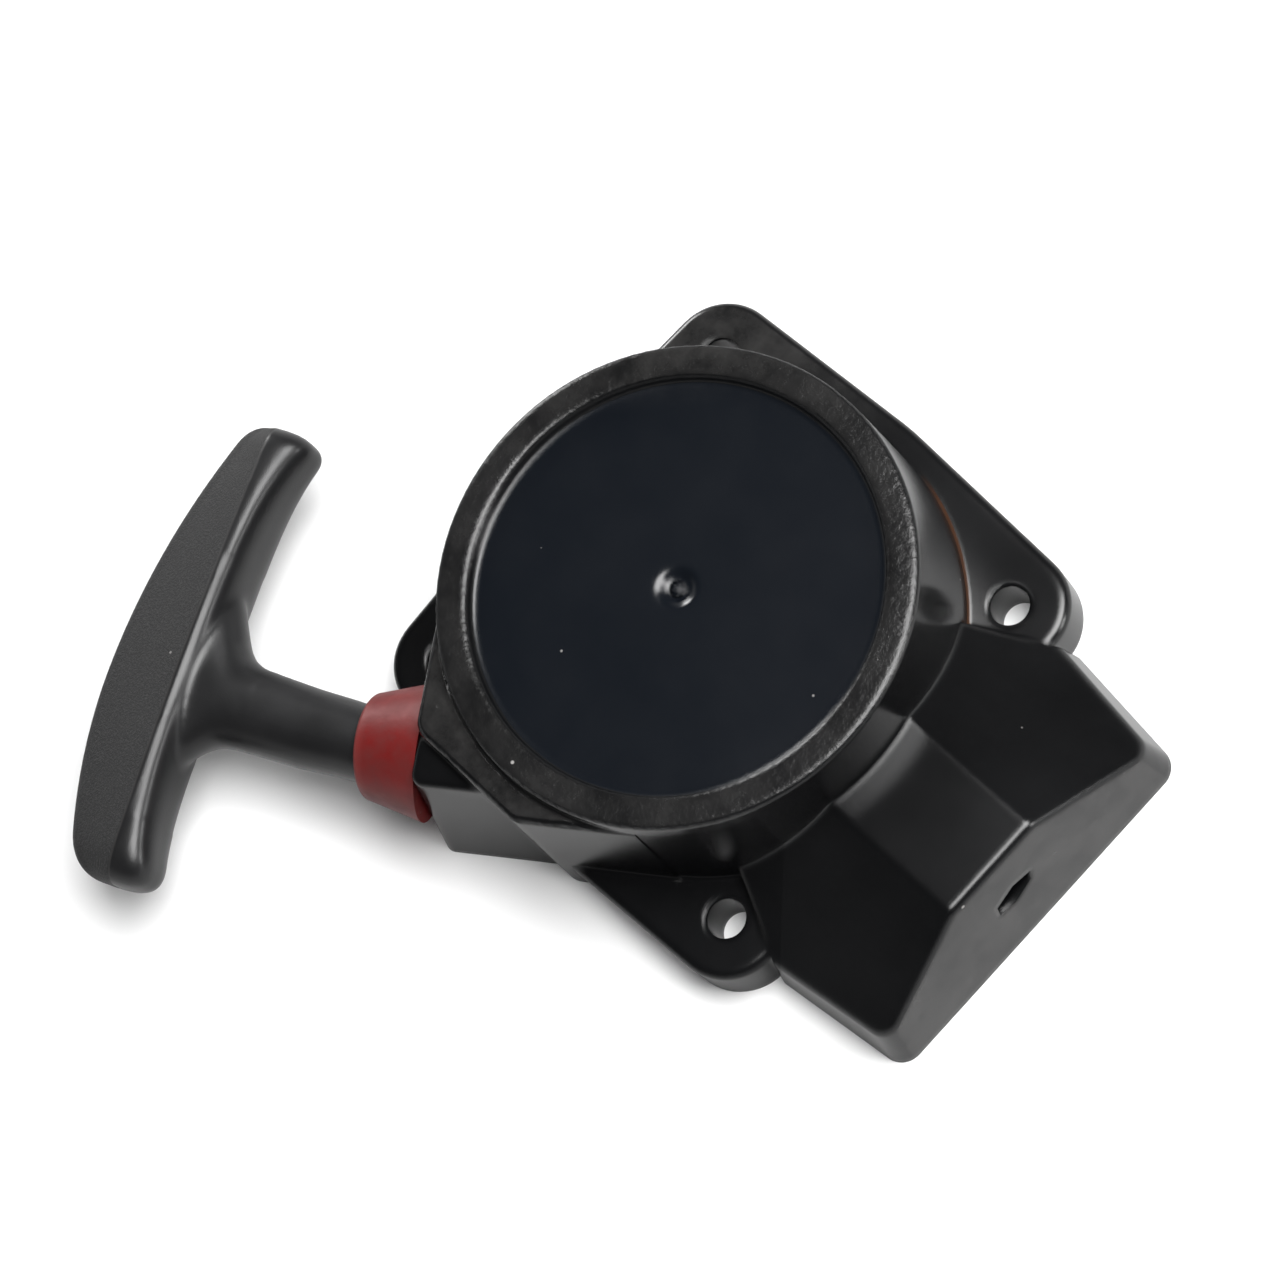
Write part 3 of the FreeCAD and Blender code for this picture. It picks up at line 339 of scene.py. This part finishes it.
def handle_finish(sizes, colours):
    """Matt black plastic: a coarse grain on the palm's facets, finer on the fingers' side."""
    finish = Finish("handle_black", IOR=1.48)
    from_ball, _, up = finish.axes(finish.turned_to(BALL, NECK_TURN))
    palm = finish.range(from_ball, sizes.crease_x - 0.1 * MM, sizes.crease_x + 0.5 * MM, soft=True)
    # a thin line of flash runs along the crease, above and below
    off_crease = finish.calc("ABSOLUTE", finish.calc("SUBTRACT", from_ball, sizes.crease_x))
    flash = finish.times(finish.range(off_crease, 0.30 * MM, 0.12 * MM),
                         finish.above(finish.calc("ABSOLUTE", up), 4 * MM))

    cloud = finish.noise(60.0, detail=5.0, rough=0.6)
    colour = finish.mix(finish.range(cloud, 0.3, 0.75), colours.handle,
                        shade(colours.handle, 1.5))
    grain = finish.noise(1.0 / sizes.grain, detail=3.0, rough=0.6)
    worn = finish.times(finish.range(grain, 0.45, 0.75, 0.0, 0.07), palm)
    colour = finish.mix(worn, colour, colours.dust)
    colour = finish.mix(finish.times(flash, 0.05), colour, colours.dust)
    specks = finish.specks(300.0, 0.09, 0.03)
    finish.set("Base Color", finish.mix(finish.times(specks, 0.6), colour, colours.dust))

    roughness = finish.range(cloud, 0.3, 0.7, 0.30, 0.40)
    finish.set("Roughness", finish.plus(roughness, finish.times(palm, 0.28)))
    fine = finish.bump(finish.noise(1.5 / sizes.grain, detail=2.0), 0.03 * MM, 0.5)
    finish.bump(finish.times(grain, palm), 0.16 * MM, 0.9, fine)
    return finish.material


def guide_finish(colours):
    """Dull red plastic with pale dust, scuffed, and paler towards its front rim."""
    finish = Finish("guide_red", IOR=1.46)
    along, _, _ = finish.axes(finish.turned_to((0, 0, 0), LEAVING_TURN))
    chalky = (0.26, 0.085, 0.078)
    cloud = finish.noise(130.0, detail=6.0, rough=0.65)
    colour = finish.mix(finish.range(cloud, 0.35, 0.7), colours.guide,
                        shade(colours.guide, 0.55))
    # paler over the last of the body before its front rim
    paler_to_front = finish.range(along, GUIDE_FRONT - 2.2 * MM, GUIDE_FRONT, 0.0, 0.25)
    dusty = finish.plus(paler_to_front, finish.range(cloud, 0.45, 0.8, 0.0, 0.16))
    colour = finish.mix(dusty, colour, chalky)
    specks = finish.specks(420.0, 0.16, 0.10)
    finish.set("Base Color", finish.mix(finish.times(specks, 0.6), colour, colours.dust))
    finish.set("Roughness", finish.range(cloud, 0.3, 0.7, 0.42, 0.60))
    scuffs = finish.bump(finish.noise(700.0, detail=4.0), 0.06 * MM, 0.6)
    finish.bump(finish.noise(90.0, detail=2.0), 0.25 * MM, 0.4, scuffs)
    return finish.material


def rope_finish(sizes, colours):
    """Braided nylon: two families of strands that cross round the rope."""
    finish = Finish("braided_rope", IOR=1.5)
    along, aside, up = finish.axes(finish.turned_to(on_rope_line(0.0), LEAVING_TURN))
    strands = 4.0
    lay = 1.1 * sizes.rope_thick
    heading = finish.times(finish.calc("ARCTAN2", up, aside), strands)
    step = finish.times(along, 2 * math.pi / lay)
    left = finish.calc("SINE", finish.plus(step, heading))
    right = finish.calc("SINE", finish.calc("SUBTRACT", step, heading))
    weave = finish.calc("MAXIMUM", left, right)
    fuzz = finish.noise(2500.0, detail=3.0)
    # the grooves between the strands are painted darker: painted shade
    finish.set("Base Color", finish.mix(finish.range(weave, -0.4, 0.9),
                                        shade(colours.rope, 0.35), colours.rope))
    finish.set("Roughness", finish.range(fuzz, 0.3, 0.7, 0.70, 0.90))
    threads = finish.bump(fuzz, 0.05 * MM, 0.6)
    finish.bump(weave, 0.30 * MM, 0.9, threads)
    return finish.material


def metal_finish(name, bright, dull, rough, brush):
    """Worked metal: a brushed grain, patches of oil and fine pits."""
    finish = Finish(name, Metallic=1.0)
    stretched = finish.add("ShaderNodeMapping", {
        "Vector": finish.place, "Scale": (1.0, 6.0, 6.0)}).outputs["Vector"]
    patch = finish.noise(160.0, detail=5.0, rough=0.6)
    grain = finish.noise(brush, detail=4.0, rough=0.7, place=stretched)
    finish.set("Base Color", finish.mix(finish.range(patch, 0.35, 0.7), bright, dull))
    uneven = finish.plus(finish.times(patch, 0.6), finish.times(grain, 0.4))
    finish.set("Roughness", finish.range(uneven, 0.3, 0.7, rough, rough + 0.2))
    finish.bump(grain, 0.02 * MM, 0.6)
    return finish.material


def nylon_finish(name, light, dark, rough):
    """Engineering nylon: faint flow lines and a fine, slightly waxy skin."""
    finish = Finish(name, IOR=1.53)
    flow = finish.add("ShaderNodeTexWave", {
        "Vector": finish.place, "Scale": 30.0, "Distortion": 9.0, "Detail": 3.0},
        wave_type="RINGS", rings_direction="Z").outputs["Fac"]
    cloud = finish.noise(140.0, detail=5.0)
    share = finish.plus(finish.times(flow, 0.3), finish.times(cloud, 0.7))
    finish.set("Base Color", finish.mix(finish.range(share, 0.3, 0.7), light, dark))
    finish.set("Roughness", finish.range(cloud, 0.3, 0.7, rough, rough + 0.15))
    finish.bump(finish.noise(1300.0, detail=2.0), 0.03 * MM, 0.4)
    return finish.material


def floor_finish(colours):
    """Pale and matt; dimmer in reflections and bounces than it is straight on."""
    finish = Finish("pale_floor", Roughness=0.75)
    seen = finish.add("ShaderNodeLightPath").outputs["Is Camera Ray"]
    finish.set("Base Color", finish.mix(seen, shade(colours.floor, 0.62), colours.floor))
    return finish.material


FINISHES = {
    "zinc": lambda: metal_finish("zinc_plate", (0.62, 0.61, 0.58), (0.44, 0.43, 0.40), 0.26, 900),
    "blued": lambda: metal_finish("blued_steel", (0.24, 0.26, 0.32), (0.12, 0.12, 0.14), 0.28, 700),
    "sintered": lambda: metal_finish("sintered_steel", (0.30, 0.29, 0.27), (0.17, 0.16, 0.15),
                                     0.40, 1500),
    "bronze": lambda: metal_finish("sintered_bronze", (0.55, 0.36, 0.16), (0.33, 0.21, 0.10),
                                   0.38, 1500),
    "grey_nylon": lambda: nylon_finish("grey_nylon", (0.060, 0.060, 0.063),
                                       (0.038, 0.038, 0.040), 0.42),
    "white_nylon": lambda: nylon_finish("white_nylon", (0.66, 0.64, 0.58),
                                        (0.52, 0.49, 0.42), 0.40),
    "housing": lambda: housing_finish(bpy.context.scene.starter_colours),
    "handle": lambda: handle_finish(bpy.context.scene.starter_sizes,
                                    bpy.context.scene.starter_colours),
    "guide": lambda: guide_finish(bpy.context.scene.starter_colours),
    "rope": lambda: rope_finish(bpy.context.scene.starter_sizes,
                                bpy.context.scene.starter_colours),
    "floor": lambda: floor_finish(bpy.context.scene.starter_colours),
}
made_finishes = {}


def finish_of(name):
    """The material of a finish, made once."""
    if name not in made_finishes:
        made_finishes[name] = FINISHES[name]()
    return made_finishes[name]


# ---------------------------------------------------------------- modelling helpers

def deselect():
    if bpy.context.mode != "OBJECT":
        bpy.ops.object.mode_set(mode="OBJECT")
    bpy.ops.object.select_all(action="DESELECT")


def only(piece):
    """Select one object and make it the active one."""
    deselect()
    piece.select_set(True)
    bpy.context.view_layer.objects.active = piece


def pick(piece, elements, wanted):
    """Go into a mesh with only the wanted ones of its faces or edges selected."""
    only(piece)
    bpy.ops.object.mode_set(mode="EDIT")
    bpy.ops.mesh.select_all(action="DESELECT")
    bpy.ops.object.mode_set(mode="OBJECT")
    for element in getattr(piece.data, elements):
        element.select = wanted(element)
    bpy.ops.object.mode_set(mode="EDIT")


def span(piece, edge):
    """From one end of an edge to its other end."""
    start, stop = (piece.data.vertices[index].co for index in edge.vertices)
    return stop - start


def named(name):
    """The object just added, under its own name."""
    piece = bpy.context.active_object
    piece.name = name
    piece.data.name = name
    return piece


def paint(piece, finish):
    piece.data.materials.clear()
    piece.data.materials.append(finish_of(finish))


def apply_modifier(piece, kind, **settings):
    only(piece)
    modifier = piece.modifiers.new(kind.lower(), kind)
    for name, value in settings.items():
        setattr(modifier, name, value)
    bpy.ops.object.modifier_apply(modifier=modifier.name)


def settle(piece, matrix=None):
    """Put a piece where it belongs and move that place into its mesh."""
    only(piece)
    if matrix is not None:
        piece.matrix_world = matrix @ piece.matrix_world
    bpy.ops.object.transform_apply(location=True, rotation=True, scale=True)


def weld(piece, angle):
    """Join the loose triangles of a copied mesh and shade its curves smoothly."""
    only(piece)
    bpy.ops.object.mode_set(mode="EDIT")
    bpy.ops.mesh.select_all(action="SELECT")
    bpy.ops.mesh.customdata_custom_splitnormals_clear()
    bpy.ops.mesh.remove_doubles(threshold=0.001 * MM)
    bpy.ops.mesh.select_all(action="DESELECT")
    bpy.ops.object.mode_set(mode="OBJECT")
    bpy.ops.object.shade_smooth_by_angle(angle=math.radians(angle))


def stand_in(node, name, finish, angle=32.0):
    """A welded copy of a CAD node, which it stands for, in one of the finishes."""
    source = frame["nodes"][node]
    piece = bpy.data.objects.new(name, source.data.copy())
    bpy.context.scene.collection.objects.link(piece)
    piece.data.name = name
    weld(piece, angle)
    apply_modifier(piece, "WEIGHTED_NORMAL", keep_sharp=True, weight=60)
    paint(piece, finish)
    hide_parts(node)
    return piece


def body_with(node):
    """The body that a node belongs to."""
    for body, nodes in frame["record"]["behaviour"]["bodies"].items():
        if node in nodes:
            return body
    raise RuntimeError("no body holds " + node)


def handle_frame():
    """From the handle's own frame, X along its neck from the ball, to its place."""
    return Matrix.Translation(BALL) @ Matrix.Rotation(NECK_TURN, 4, "Z")


# ---------------------------------------------------------------- pieces

class STARTER_OT_housing(bpy.types.Operator):
    """Drum housing, welded and shaded, with the broken gate in its dimple"""
    bl_idname = "starter.housing"
    bl_label = "Housing"

    def execute(self, context):
        shell = stand_in("housing", "housing_shell", "housing")
        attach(shell, "housing")
        self.add_gate_mark(context.scene.starter_sizes)
        return {"FINISHED"}

    def add_gate_mark(self, sizes):
        """A stub of plastic, torn off when the moulding left its mould."""
        radius = sizes.shot_size / 2
        dimple_floor = DRUM_TOP - 3.0 * MM
        deselect()
        bpy.ops.mesh.primitive_cylinder_add(
            vertices=14, radius=radius, depth=0.9 * MM, location=(0, 0, dimple_floor))
        stub = named("gate_mark")
        pick(stub, "polygons", lambda face: face.normal.z > 0.9)
        bpy.ops.mesh.inset(thickness=radius * 0.35, depth=-0.35 * MM)
        bpy.ops.mesh.inset(thickness=radius * 0.30, depth=0.30 * MM)
        bpy.ops.mesh.select_all(action="SELECT")
        bpy.ops.mesh.bevel(offset=0.12 * MM, segments=2)
        bpy.ops.transform.vertex_random(offset=0.22 * MM, seed=4)
        bpy.ops.object.mode_set(mode="OBJECT")
        apply_modifier(stub, "SUBSURF", levels=1, render_levels=1)
        settle(stub)
        bpy.ops.object.shade_smooth()
        paint(stub, "housing")
        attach(stub, "housing")


class STARTER_OT_guide(bpy.types.Operator):
    """Red tapered bush that leads the rope out of its duct"""
    bl_idname = "starter.guide"
    bl_label = "Rope guide"

    def execute(self, context):
        bush = stand_in("rope_guide", "red_guide", "guide", angle=40.0)
        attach(bush, "housing")
        return {"FINISHED"}


class STARTER_OT_handle(bpy.types.Operator):
    """T-shaped handle: a wedge-backed bar on a round neck, with its plug"""
    bl_idname = "starter.handle"
    bl_label = "Handle"

    def execute(self, context):
        sizes = context.scene.starter_sizes
        bar = self.make_bar(sizes)
        neck = self.make_neck(sizes)
        deselect()
        neck.select_set(True)
        bar.select_set(True)
        context.view_layer.objects.active = bar
        bpy.ops.object.join()
        grip = named("t_handle")
        apply_modifier(grip, "REMESH", mode="VOXEL", voxel_size=0.42 * MM)
        apply_modifier(grip, "SMOOTH", factor=0.5, iterations=3)
        self.soften_junction(grip, sizes)
        plug = self.core_out(grip, "palm_plug")
        for piece, node in ((grip, "handle_grip"), (plug, "handle_plug")):
            settle(piece, handle_frame())
            bpy.ops.object.shade_smooth_by_angle(angle=math.radians(50))
            paint(piece, "handle")
            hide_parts(node)
            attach(piece, "handle")
        return {"FINISHED"}

    def soften_junction(self, grip, sizes):
        """Melt the neck's flare into the fingers' side of the bar."""
        junction = grip.vertex_groups.new(name="junction")
        flare_starts = 22 * MM
        half_width = 24 * MM
        crease = sizes.crease_x - 0.8 * MM
        chosen = [point.index for point in grip.data.vertices
                  if flare_starts < point.co.x < crease and abs(point.co.y) < half_width]
        junction.add(chosen, 1.0, "REPLACE")
        apply_modifier(grip, "SMOOTH", factor=0.5, iterations=50, vertex_group="junction")

    def section(self, sizes, along):
        """Palm edge, fingers' side and half height of the bar, at -1 to 1 along it."""
        # the palm's edge bows out most a little to one side of the middle
        summit = 0.17
        palm_drop = (9.6 if along > summit else 6.8) * MM
        finger_curl = 5.4 * MM
        thinning = 1.9 * MM
        palm = sizes.palm_x - palm_drop * (along - summit) ** 2
        finger = sizes.finger_x - finger_curl * abs(along) ** 4.2
        high = sizes.bar_high - thinning * along ** 2
        return palm, finger, high

    def make_bar(self, sizes):
        """Rings of one section along the bar, drawn in to rounded ends."""
        spokes = 56
        rings = 96
        least = 0.12
        roundness = 2.6
        deselect()
        bpy.ops.mesh.primitive_cylinder_add(
            vertices=spokes, radius=sizes.bar_high, depth=2.0, end_fill_type="NGON",
            rotation=(math.radians(-90), 0, 0))
        bar = named("handle_bar")
        settle(bar)
        pick(bar, "edges", lambda edge: abs(span(bar, edge).y) > 1.0)
        bpy.ops.mesh.subdivide(number_cuts=rings)
        bpy.ops.object.mode_set(mode="OBJECT")
        core_x = sizes.crease_x + 1.5 * MM
        for point in bar.data.vertices:
            # a sine of the spacing crowds the rings towards both ends
            along = math.sin(point.co.y * math.pi / 2)
            palm, finger, high = self.section(sizes, along)
            end_zone = 0.17 if along > 0 else 0.11
            into_end = max(0.0, (abs(along) - (1 - end_zone)) / end_zone)
            shrink = max(0.0, 1 - into_end ** roundness) ** (1 / roundness)
            size = least + (1 - least) * shrink
            heading = math.atan2(point.co.z, point.co.x)
            spot = self.outline(sizes, heading, palm, finger, high)
            point.co.x = core_x + (spot[0] - core_x) * size
            point.co.z = spot[1] * size
            point.co.y = sizes.bar_middle + along * sizes.bar_half
        return bar

    def outline(self, sizes, heading, palm, finger, high):
        """One point of the section: round towards the fingers, a blunt wedge to the palm."""
        up = math.copysign(1.0, math.sin(heading))
        if abs(heading) > math.pi / 2:
            swing = math.pi - abs(heading)
            squareness = 0.62
            return (sizes.crease_x
                    - (sizes.crease_x - finger) * max(0.0, math.cos(swing)) ** squareness,
                    up * high * math.sin(swing) ** squareness)
        share = 1 - abs(heading) / (math.pi / 2)
        nose_from = 0.66
        nose_high = 0.50 * high
        nose_depth = 2.4 * MM
        if share < nose_from:
            run = share / nose_from
            return (sizes.crease_x + (palm - nose_depth - sizes.crease_x) * run,
                    up * (high + (nose_high - high) * run))
        swing = (share - nose_from) / (1 - nose_from) * math.pi / 2
        return palm - nose_depth * (1 - math.sin(swing)), up * nose_high * math.cos(swing) ** 0.8

    def make_neck(self, sizes):
        """The neck with its ball, flared where it runs into the bar."""
        thin = sizes.neck_thick / 2
        tolerance = 0.02 * MM
        # from the ball, added to the radius, lean to the long side: all in millimetres
        rings = ((4.5, 0.15, 0.0), (12, 0.45, 0.2), (20, 0.65, 0), (24, 0.9, -0.1),
                 (26.5, 1.5, -0.5), (28.5, 3.0, -1.1), (30.2, 5.2, -1.9), (32, 8.0, -2.6),
                 (34, 10.5, -3.4))
        deselect()
        bpy.ops.mesh.primitive_uv_sphere_add(segments=48, ring_count=24, radius=thin)
        ball = named("handle_neck")
        bpy.ops.object.mode_set(mode="EDIT")
        bpy.ops.mesh.select_all(action="SELECT")
        bpy.ops.transform.rotate(
            value=math.radians(90), orient_axis="Y", center_override=(0, 0, 0))
        pick(ball, "polygons", lambda face: face.center.x > tolerance)
        bpy.ops.mesh.delete(type="FACE")
        bpy.ops.object.mode_set(mode="OBJECT")
        pick(ball, "edges", lambda edge: all(ball.data.vertices[index].co.x > -tolerance
                                             for index in edge.vertices))
        before_x = 0.0
        before_r = thin
        before_lean = 0.0
        for away, more, lean in rings:
            radius = thin + more * MM
            # the flare widens only level, so the neck stays as high as its ball
            high = min(radius, thin)
            bpy.ops.mesh.extrude_edges_move(TRANSFORM_OT_translate={
                "value": (away * MM - before_x, (lean - before_lean) * MM, 0)})
            bpy.ops.transform.resize(
                value=(1, radius / before_r, high / min(before_r, thin)),
                center_override=(away * MM, lean * MM, 0))
            before_x = away * MM
            before_r = radius
            before_lean = lean
        bpy.ops.mesh.edge_face_add()
        bpy.ops.mesh.select_all(action="SELECT")
        bpy.ops.mesh.normals_make_consistent(inside=False)
        bpy.ops.object.mode_set(mode="OBJECT")
        return ball

    def core_out(self, grip, name):
        """Sink the round well in the palm's edge, and make the plug that fills it flush."""
        low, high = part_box("handle_plug")
        radius = (high.z - low.z) / 2
        seam = 0.06 * MM
        well_depth = 12 * MM
        well_middle = (51.6 * MM, 0, 0)
        only(grip)
        bpy.ops.object.duplicate()
        plug = named(name)
        for piece, operation, wide in ((grip, "DIFFERENCE", radius + seam),
                                       (plug, "INTERSECT", radius - seam)):
            deselect()
            bpy.ops.mesh.primitive_cylinder_add(
                vertices=64, radius=wide, depth=well_depth, location=well_middle,
                rotation=(0, math.radians(90), 0))
            cutter = named("well_cutter")
            settle(cutter)
            apply_modifier(piece, "BOOLEAN", operation=operation, object=cutter, solver="EXACT")
            bpy.data.objects.remove(cutter)
        return plug


class STARTER_OT_rope(bpy.types.Operator):
    """Rope: the stretch to the handle, the turns on the reel and both knots"""
    bl_idname = "starter.rope"
    bl_label = "Rope"

    def execute(self, context):
        sizes = context.scene.starter_sizes
        self.make_lead(sizes)
        self.make_turns(sizes)
        for node in ("reel_rope_knot", "handle_rope_knot"):
            knot = stand_in(node, node + "_tied", "rope", angle=60.0)
            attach(knot, body_with(node))
        return {"FINISHED"}

    def make_lead(self, sizes):
        """The stretch that pays out, from inside the drum out to the guide's front, where the ball sits."""
        start = 12.0 * MM
        stop = GUIDE_FRONT - 0.3 * MM
        segments = 160
        deselect()
        bpy.ops.mesh.primitive_cylinder_add(
            vertices=24, radius=sizes.rope_thick / 2, depth=stop - start)
        lead = named("rope_line")
        lean = Matrix.Rotation(LEAVING_TURN, 4, "Z")
        lay = Matrix.Rotation(math.radians(90), 4, "Y")
        settle(lead, Matrix.Translation(on_rope_line((start + stop) / 2)) @ lean @ lay)
        pick(lead, "edges",
             lambda edge: abs(span(lead, edge).dot(LEAVING)) > (stop - start) / 2)
        bpy.ops.mesh.subdivide(number_cuts=segments)
        bpy.ops.object.mode_set(mode="OBJECT")
        bpy.ops.object.shade_smooth_by_angle(angle=math.radians(50))
        paint(lead, "rope")
        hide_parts("rope_lead")
        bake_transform(lead)

    def make_turns(self, sizes):
        """Layers of turns, side by side in the reel's groove."""
        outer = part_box("rope_winding")[1].x - 0.62 * MM
        radius = sizes.rope_thick / 2
        layer_step = sizes.rope_thick * 0.88
        row_step = sizes.rope_thick * 1.02
        drawn_thin = 0.985
        turns = []
        for layer in range(2):
            for row in range(2):
                ring = outer - radius - layer * layer_step
                level = BALL.z + (row - 0.5) * row_step
                deselect()
                bpy.ops.mesh.primitive_torus_add(
                    major_radius=ring, minor_radius=radius * drawn_thin, major_segments=120,
                    minor_segments=14, location=(0, 0, level))
                turns.append(bpy.context.active_object)
        for turn in turns:
            turn.select_set(True)
        bpy.ops.object.join()
        winding = named("rope_turns")
        settle(winding)
        bpy.ops.object.shade_smooth()
        paint(winding, "rope")
        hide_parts("rope_winding")
        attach(winding, "reel")


class STARTER_OT_workings(bpy.types.Operator):
    """Reel, spring, brake, pawls and fasteners under the housing"""
    bl_idname = "starter.workings"
    bl_label = "Workings"

    # node, finish, slot of the record
    PIECES = (
        ("reel", "grey_nylon", "grey_plastic"),
        ("spring_case", "grey_nylon", "grey_plastic"),
        ("thrust_washer", "white_nylon", "white_plastic"),
        ("spring_cover", "zinc", "zinc_steel"),
        ("retaining_screw", "zinc", "zinc_steel"),
        ("retaining_washer", "zinc", "zinc_steel"),
        ("pawl_pins", "zinc", "zinc_steel"),
        ("handle_knot_washer", "zinc", "zinc_steel"),
        ("friction_plate", "zinc", "zinc_steel"),
        ("recoil_spring", "blued", "spring_steel"),
        ("brake_spring", "blued", "spring_steel"),
        ("reel_bush", "bronze", "bronze_bush"),
        ("pawl_1", "sintered", "pawl_steel"),
        ("pawl_2", "sintered", "pawl_steel"),
    )

    def execute(self, context):
        for node, finish, slot in self.PIECES:
            piece = stand_in(node, node + "_part", finish)
            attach(piece, body_with(node))
        return {"FINISHED"}


class STARTER_OT_stage(bpy.types.Operator):
    """White floor, soft lights and the camera"""
    bl_idname = "starter.stage"
    bl_label = "Stage"

    AZIMUTH = 89.44
    ELEVATION = 65.61
    ROLL = -47.3
    AWAY = 0.8381
    AIM = (-0.0082, -0.0103, 0.0200)
    LENS = 142.3
    # name, place, width and watts
    LIGHTS = (
        ("overhead", (0.26, 0.34, 1.18), 0.80, 26.0),
        ("side", (0.84, 0.57, 0.44), 0.26, 3.5),
        ("back", (-1.05, 0.15, 0.36), 0.30, 5.0),
    )

    def execute(self, context):
        self.make_floor()
        self.make_sky(context.scene)
        self.make_camera(context.scene)
        for name, place, width, power in self.LIGHTS:
            self.add_light(name, Vector(place), width, power)
        return {"FINISHED"}

    def make_floor(self):
        deselect()
        bpy.ops.mesh.primitive_plane_add(size=6.0, location=(0, 0, -0.02 * MM))
        floor = named("floor")
        settle(floor)
        paint(floor, "floor")

    def make_sky(self, scene):
        """A studio that is bright low down and dark overhead."""
        world = bpy.data.worlds.new("studio")
        scene.world = world
        world.use_nodes = True
        tree = world.node_tree
        background = tree.nodes["Background"]
        place = tree.nodes.new("ShaderNodeTexCoord")
        split = tree.nodes.new("ShaderNodeSeparateXYZ")
        ramp = tree.nodes.new("ShaderNodeMapRange")
        ramp.interpolation_type = "SMOOTHSTEP"
        for socket, value in (("From Min", 0.02), ("From Max", 0.42),
                              ("To Min", 0.75), ("To Max", 0.035)):
            ramp.inputs[socket].default_value = value
        tree.links.new(place.outputs["Generated"], split.inputs["Vector"])
        tree.links.new(split.outputs["Z"], ramp.inputs["Value"])
        tree.links.new(ramp.outputs["Result"], background.inputs["Strength"])
        background.inputs["Color"].default_value = (1, 1, 1, 1)
        scene.view_settings.view_transform = "Standard"

    def add_light(self, name, place, width, power):
        deselect()
        bpy.ops.object.light_add(type="AREA", location=place)
        light = named(name)
        light.data.shape = "SQUARE"
        light.data.size = width
        light.data.energy = power
        light.rotation_euler = (-place).to_track_quat("-Z", "Y").to_euler()

    def make_camera(self, scene):
        azimuth = math.radians(self.AZIMUTH)
        elevation = math.radians(self.ELEVATION)
        back = Vector((math.sin(azimuth) * math.cos(elevation),
                       -math.cos(azimuth) * math.cos(elevation), math.sin(elevation)))
        stand = (Matrix.Rotation(azimuth, 3, "Z")
                 @ Matrix.Rotation(math.radians(90) - elevation, 3, "X")
                 @ Matrix.Rotation(math.radians(self.ROLL), 3, "Z"))
        deselect()
        bpy.ops.object.camera_add(location=Vector(self.AIM) + back * self.AWAY,
                                  rotation=stand.to_euler())
        camera = named("camera")
        camera.data.lens = self.LENS
        camera.data.sensor_width = 36.0
        camera.data.clip_start = 0.05
        scene.camera = camera


class STARTER_PT_panel(bpy.types.Panel):
    """Sizes, colours and one button for each group of pieces"""
    bl_idname = "STARTER_PT_panel"
    bl_label = "Recoil starter"
    bl_space_type = "VIEW_3D"
    bl_region_type = "UI"
    bl_category = "Starter"

    def draw(self, context):
        for group in (context.scene.starter_sizes, context.scene.starter_colours):
            box = self.layout.box()
            for name in group.__annotations__:
                box.prop(group, name)
        for operator in OPERATORS:
            self.layout.operator(operator.bl_idname)


OPERATORS = (STARTER_OT_housing, STARTER_OT_guide, STARTER_OT_handle, STARTER_OT_rope,
             STARTER_OT_workings, STARTER_OT_stage)
CLASSES = (StarterSizes, StarterColours, *OPERATORS, STARTER_PT_panel)


def register():
    for item in CLASSES:
        bpy.utils.register_class(item)
    bpy.types.Scene.starter_sizes = bpy.props.PointerProperty(type=StarterSizes)
    bpy.types.Scene.starter_colours = bpy.props.PointerProperty(type=StarterColours)


def unregister():
    del bpy.types.Scene.starter_colours
    del bpy.types.Scene.starter_sizes
    for item in reversed(CLASSES):
        bpy.utils.unregister_class(item)


def main():
    register()
    bpy.ops.starter.housing()
    bpy.ops.starter.guide()
    bpy.ops.starter.handle()
    bpy.ops.starter.rope()
    bpy.ops.starter.workings()
    bpy.ops.starter.stage()


if __name__ == "__main__":
    main()
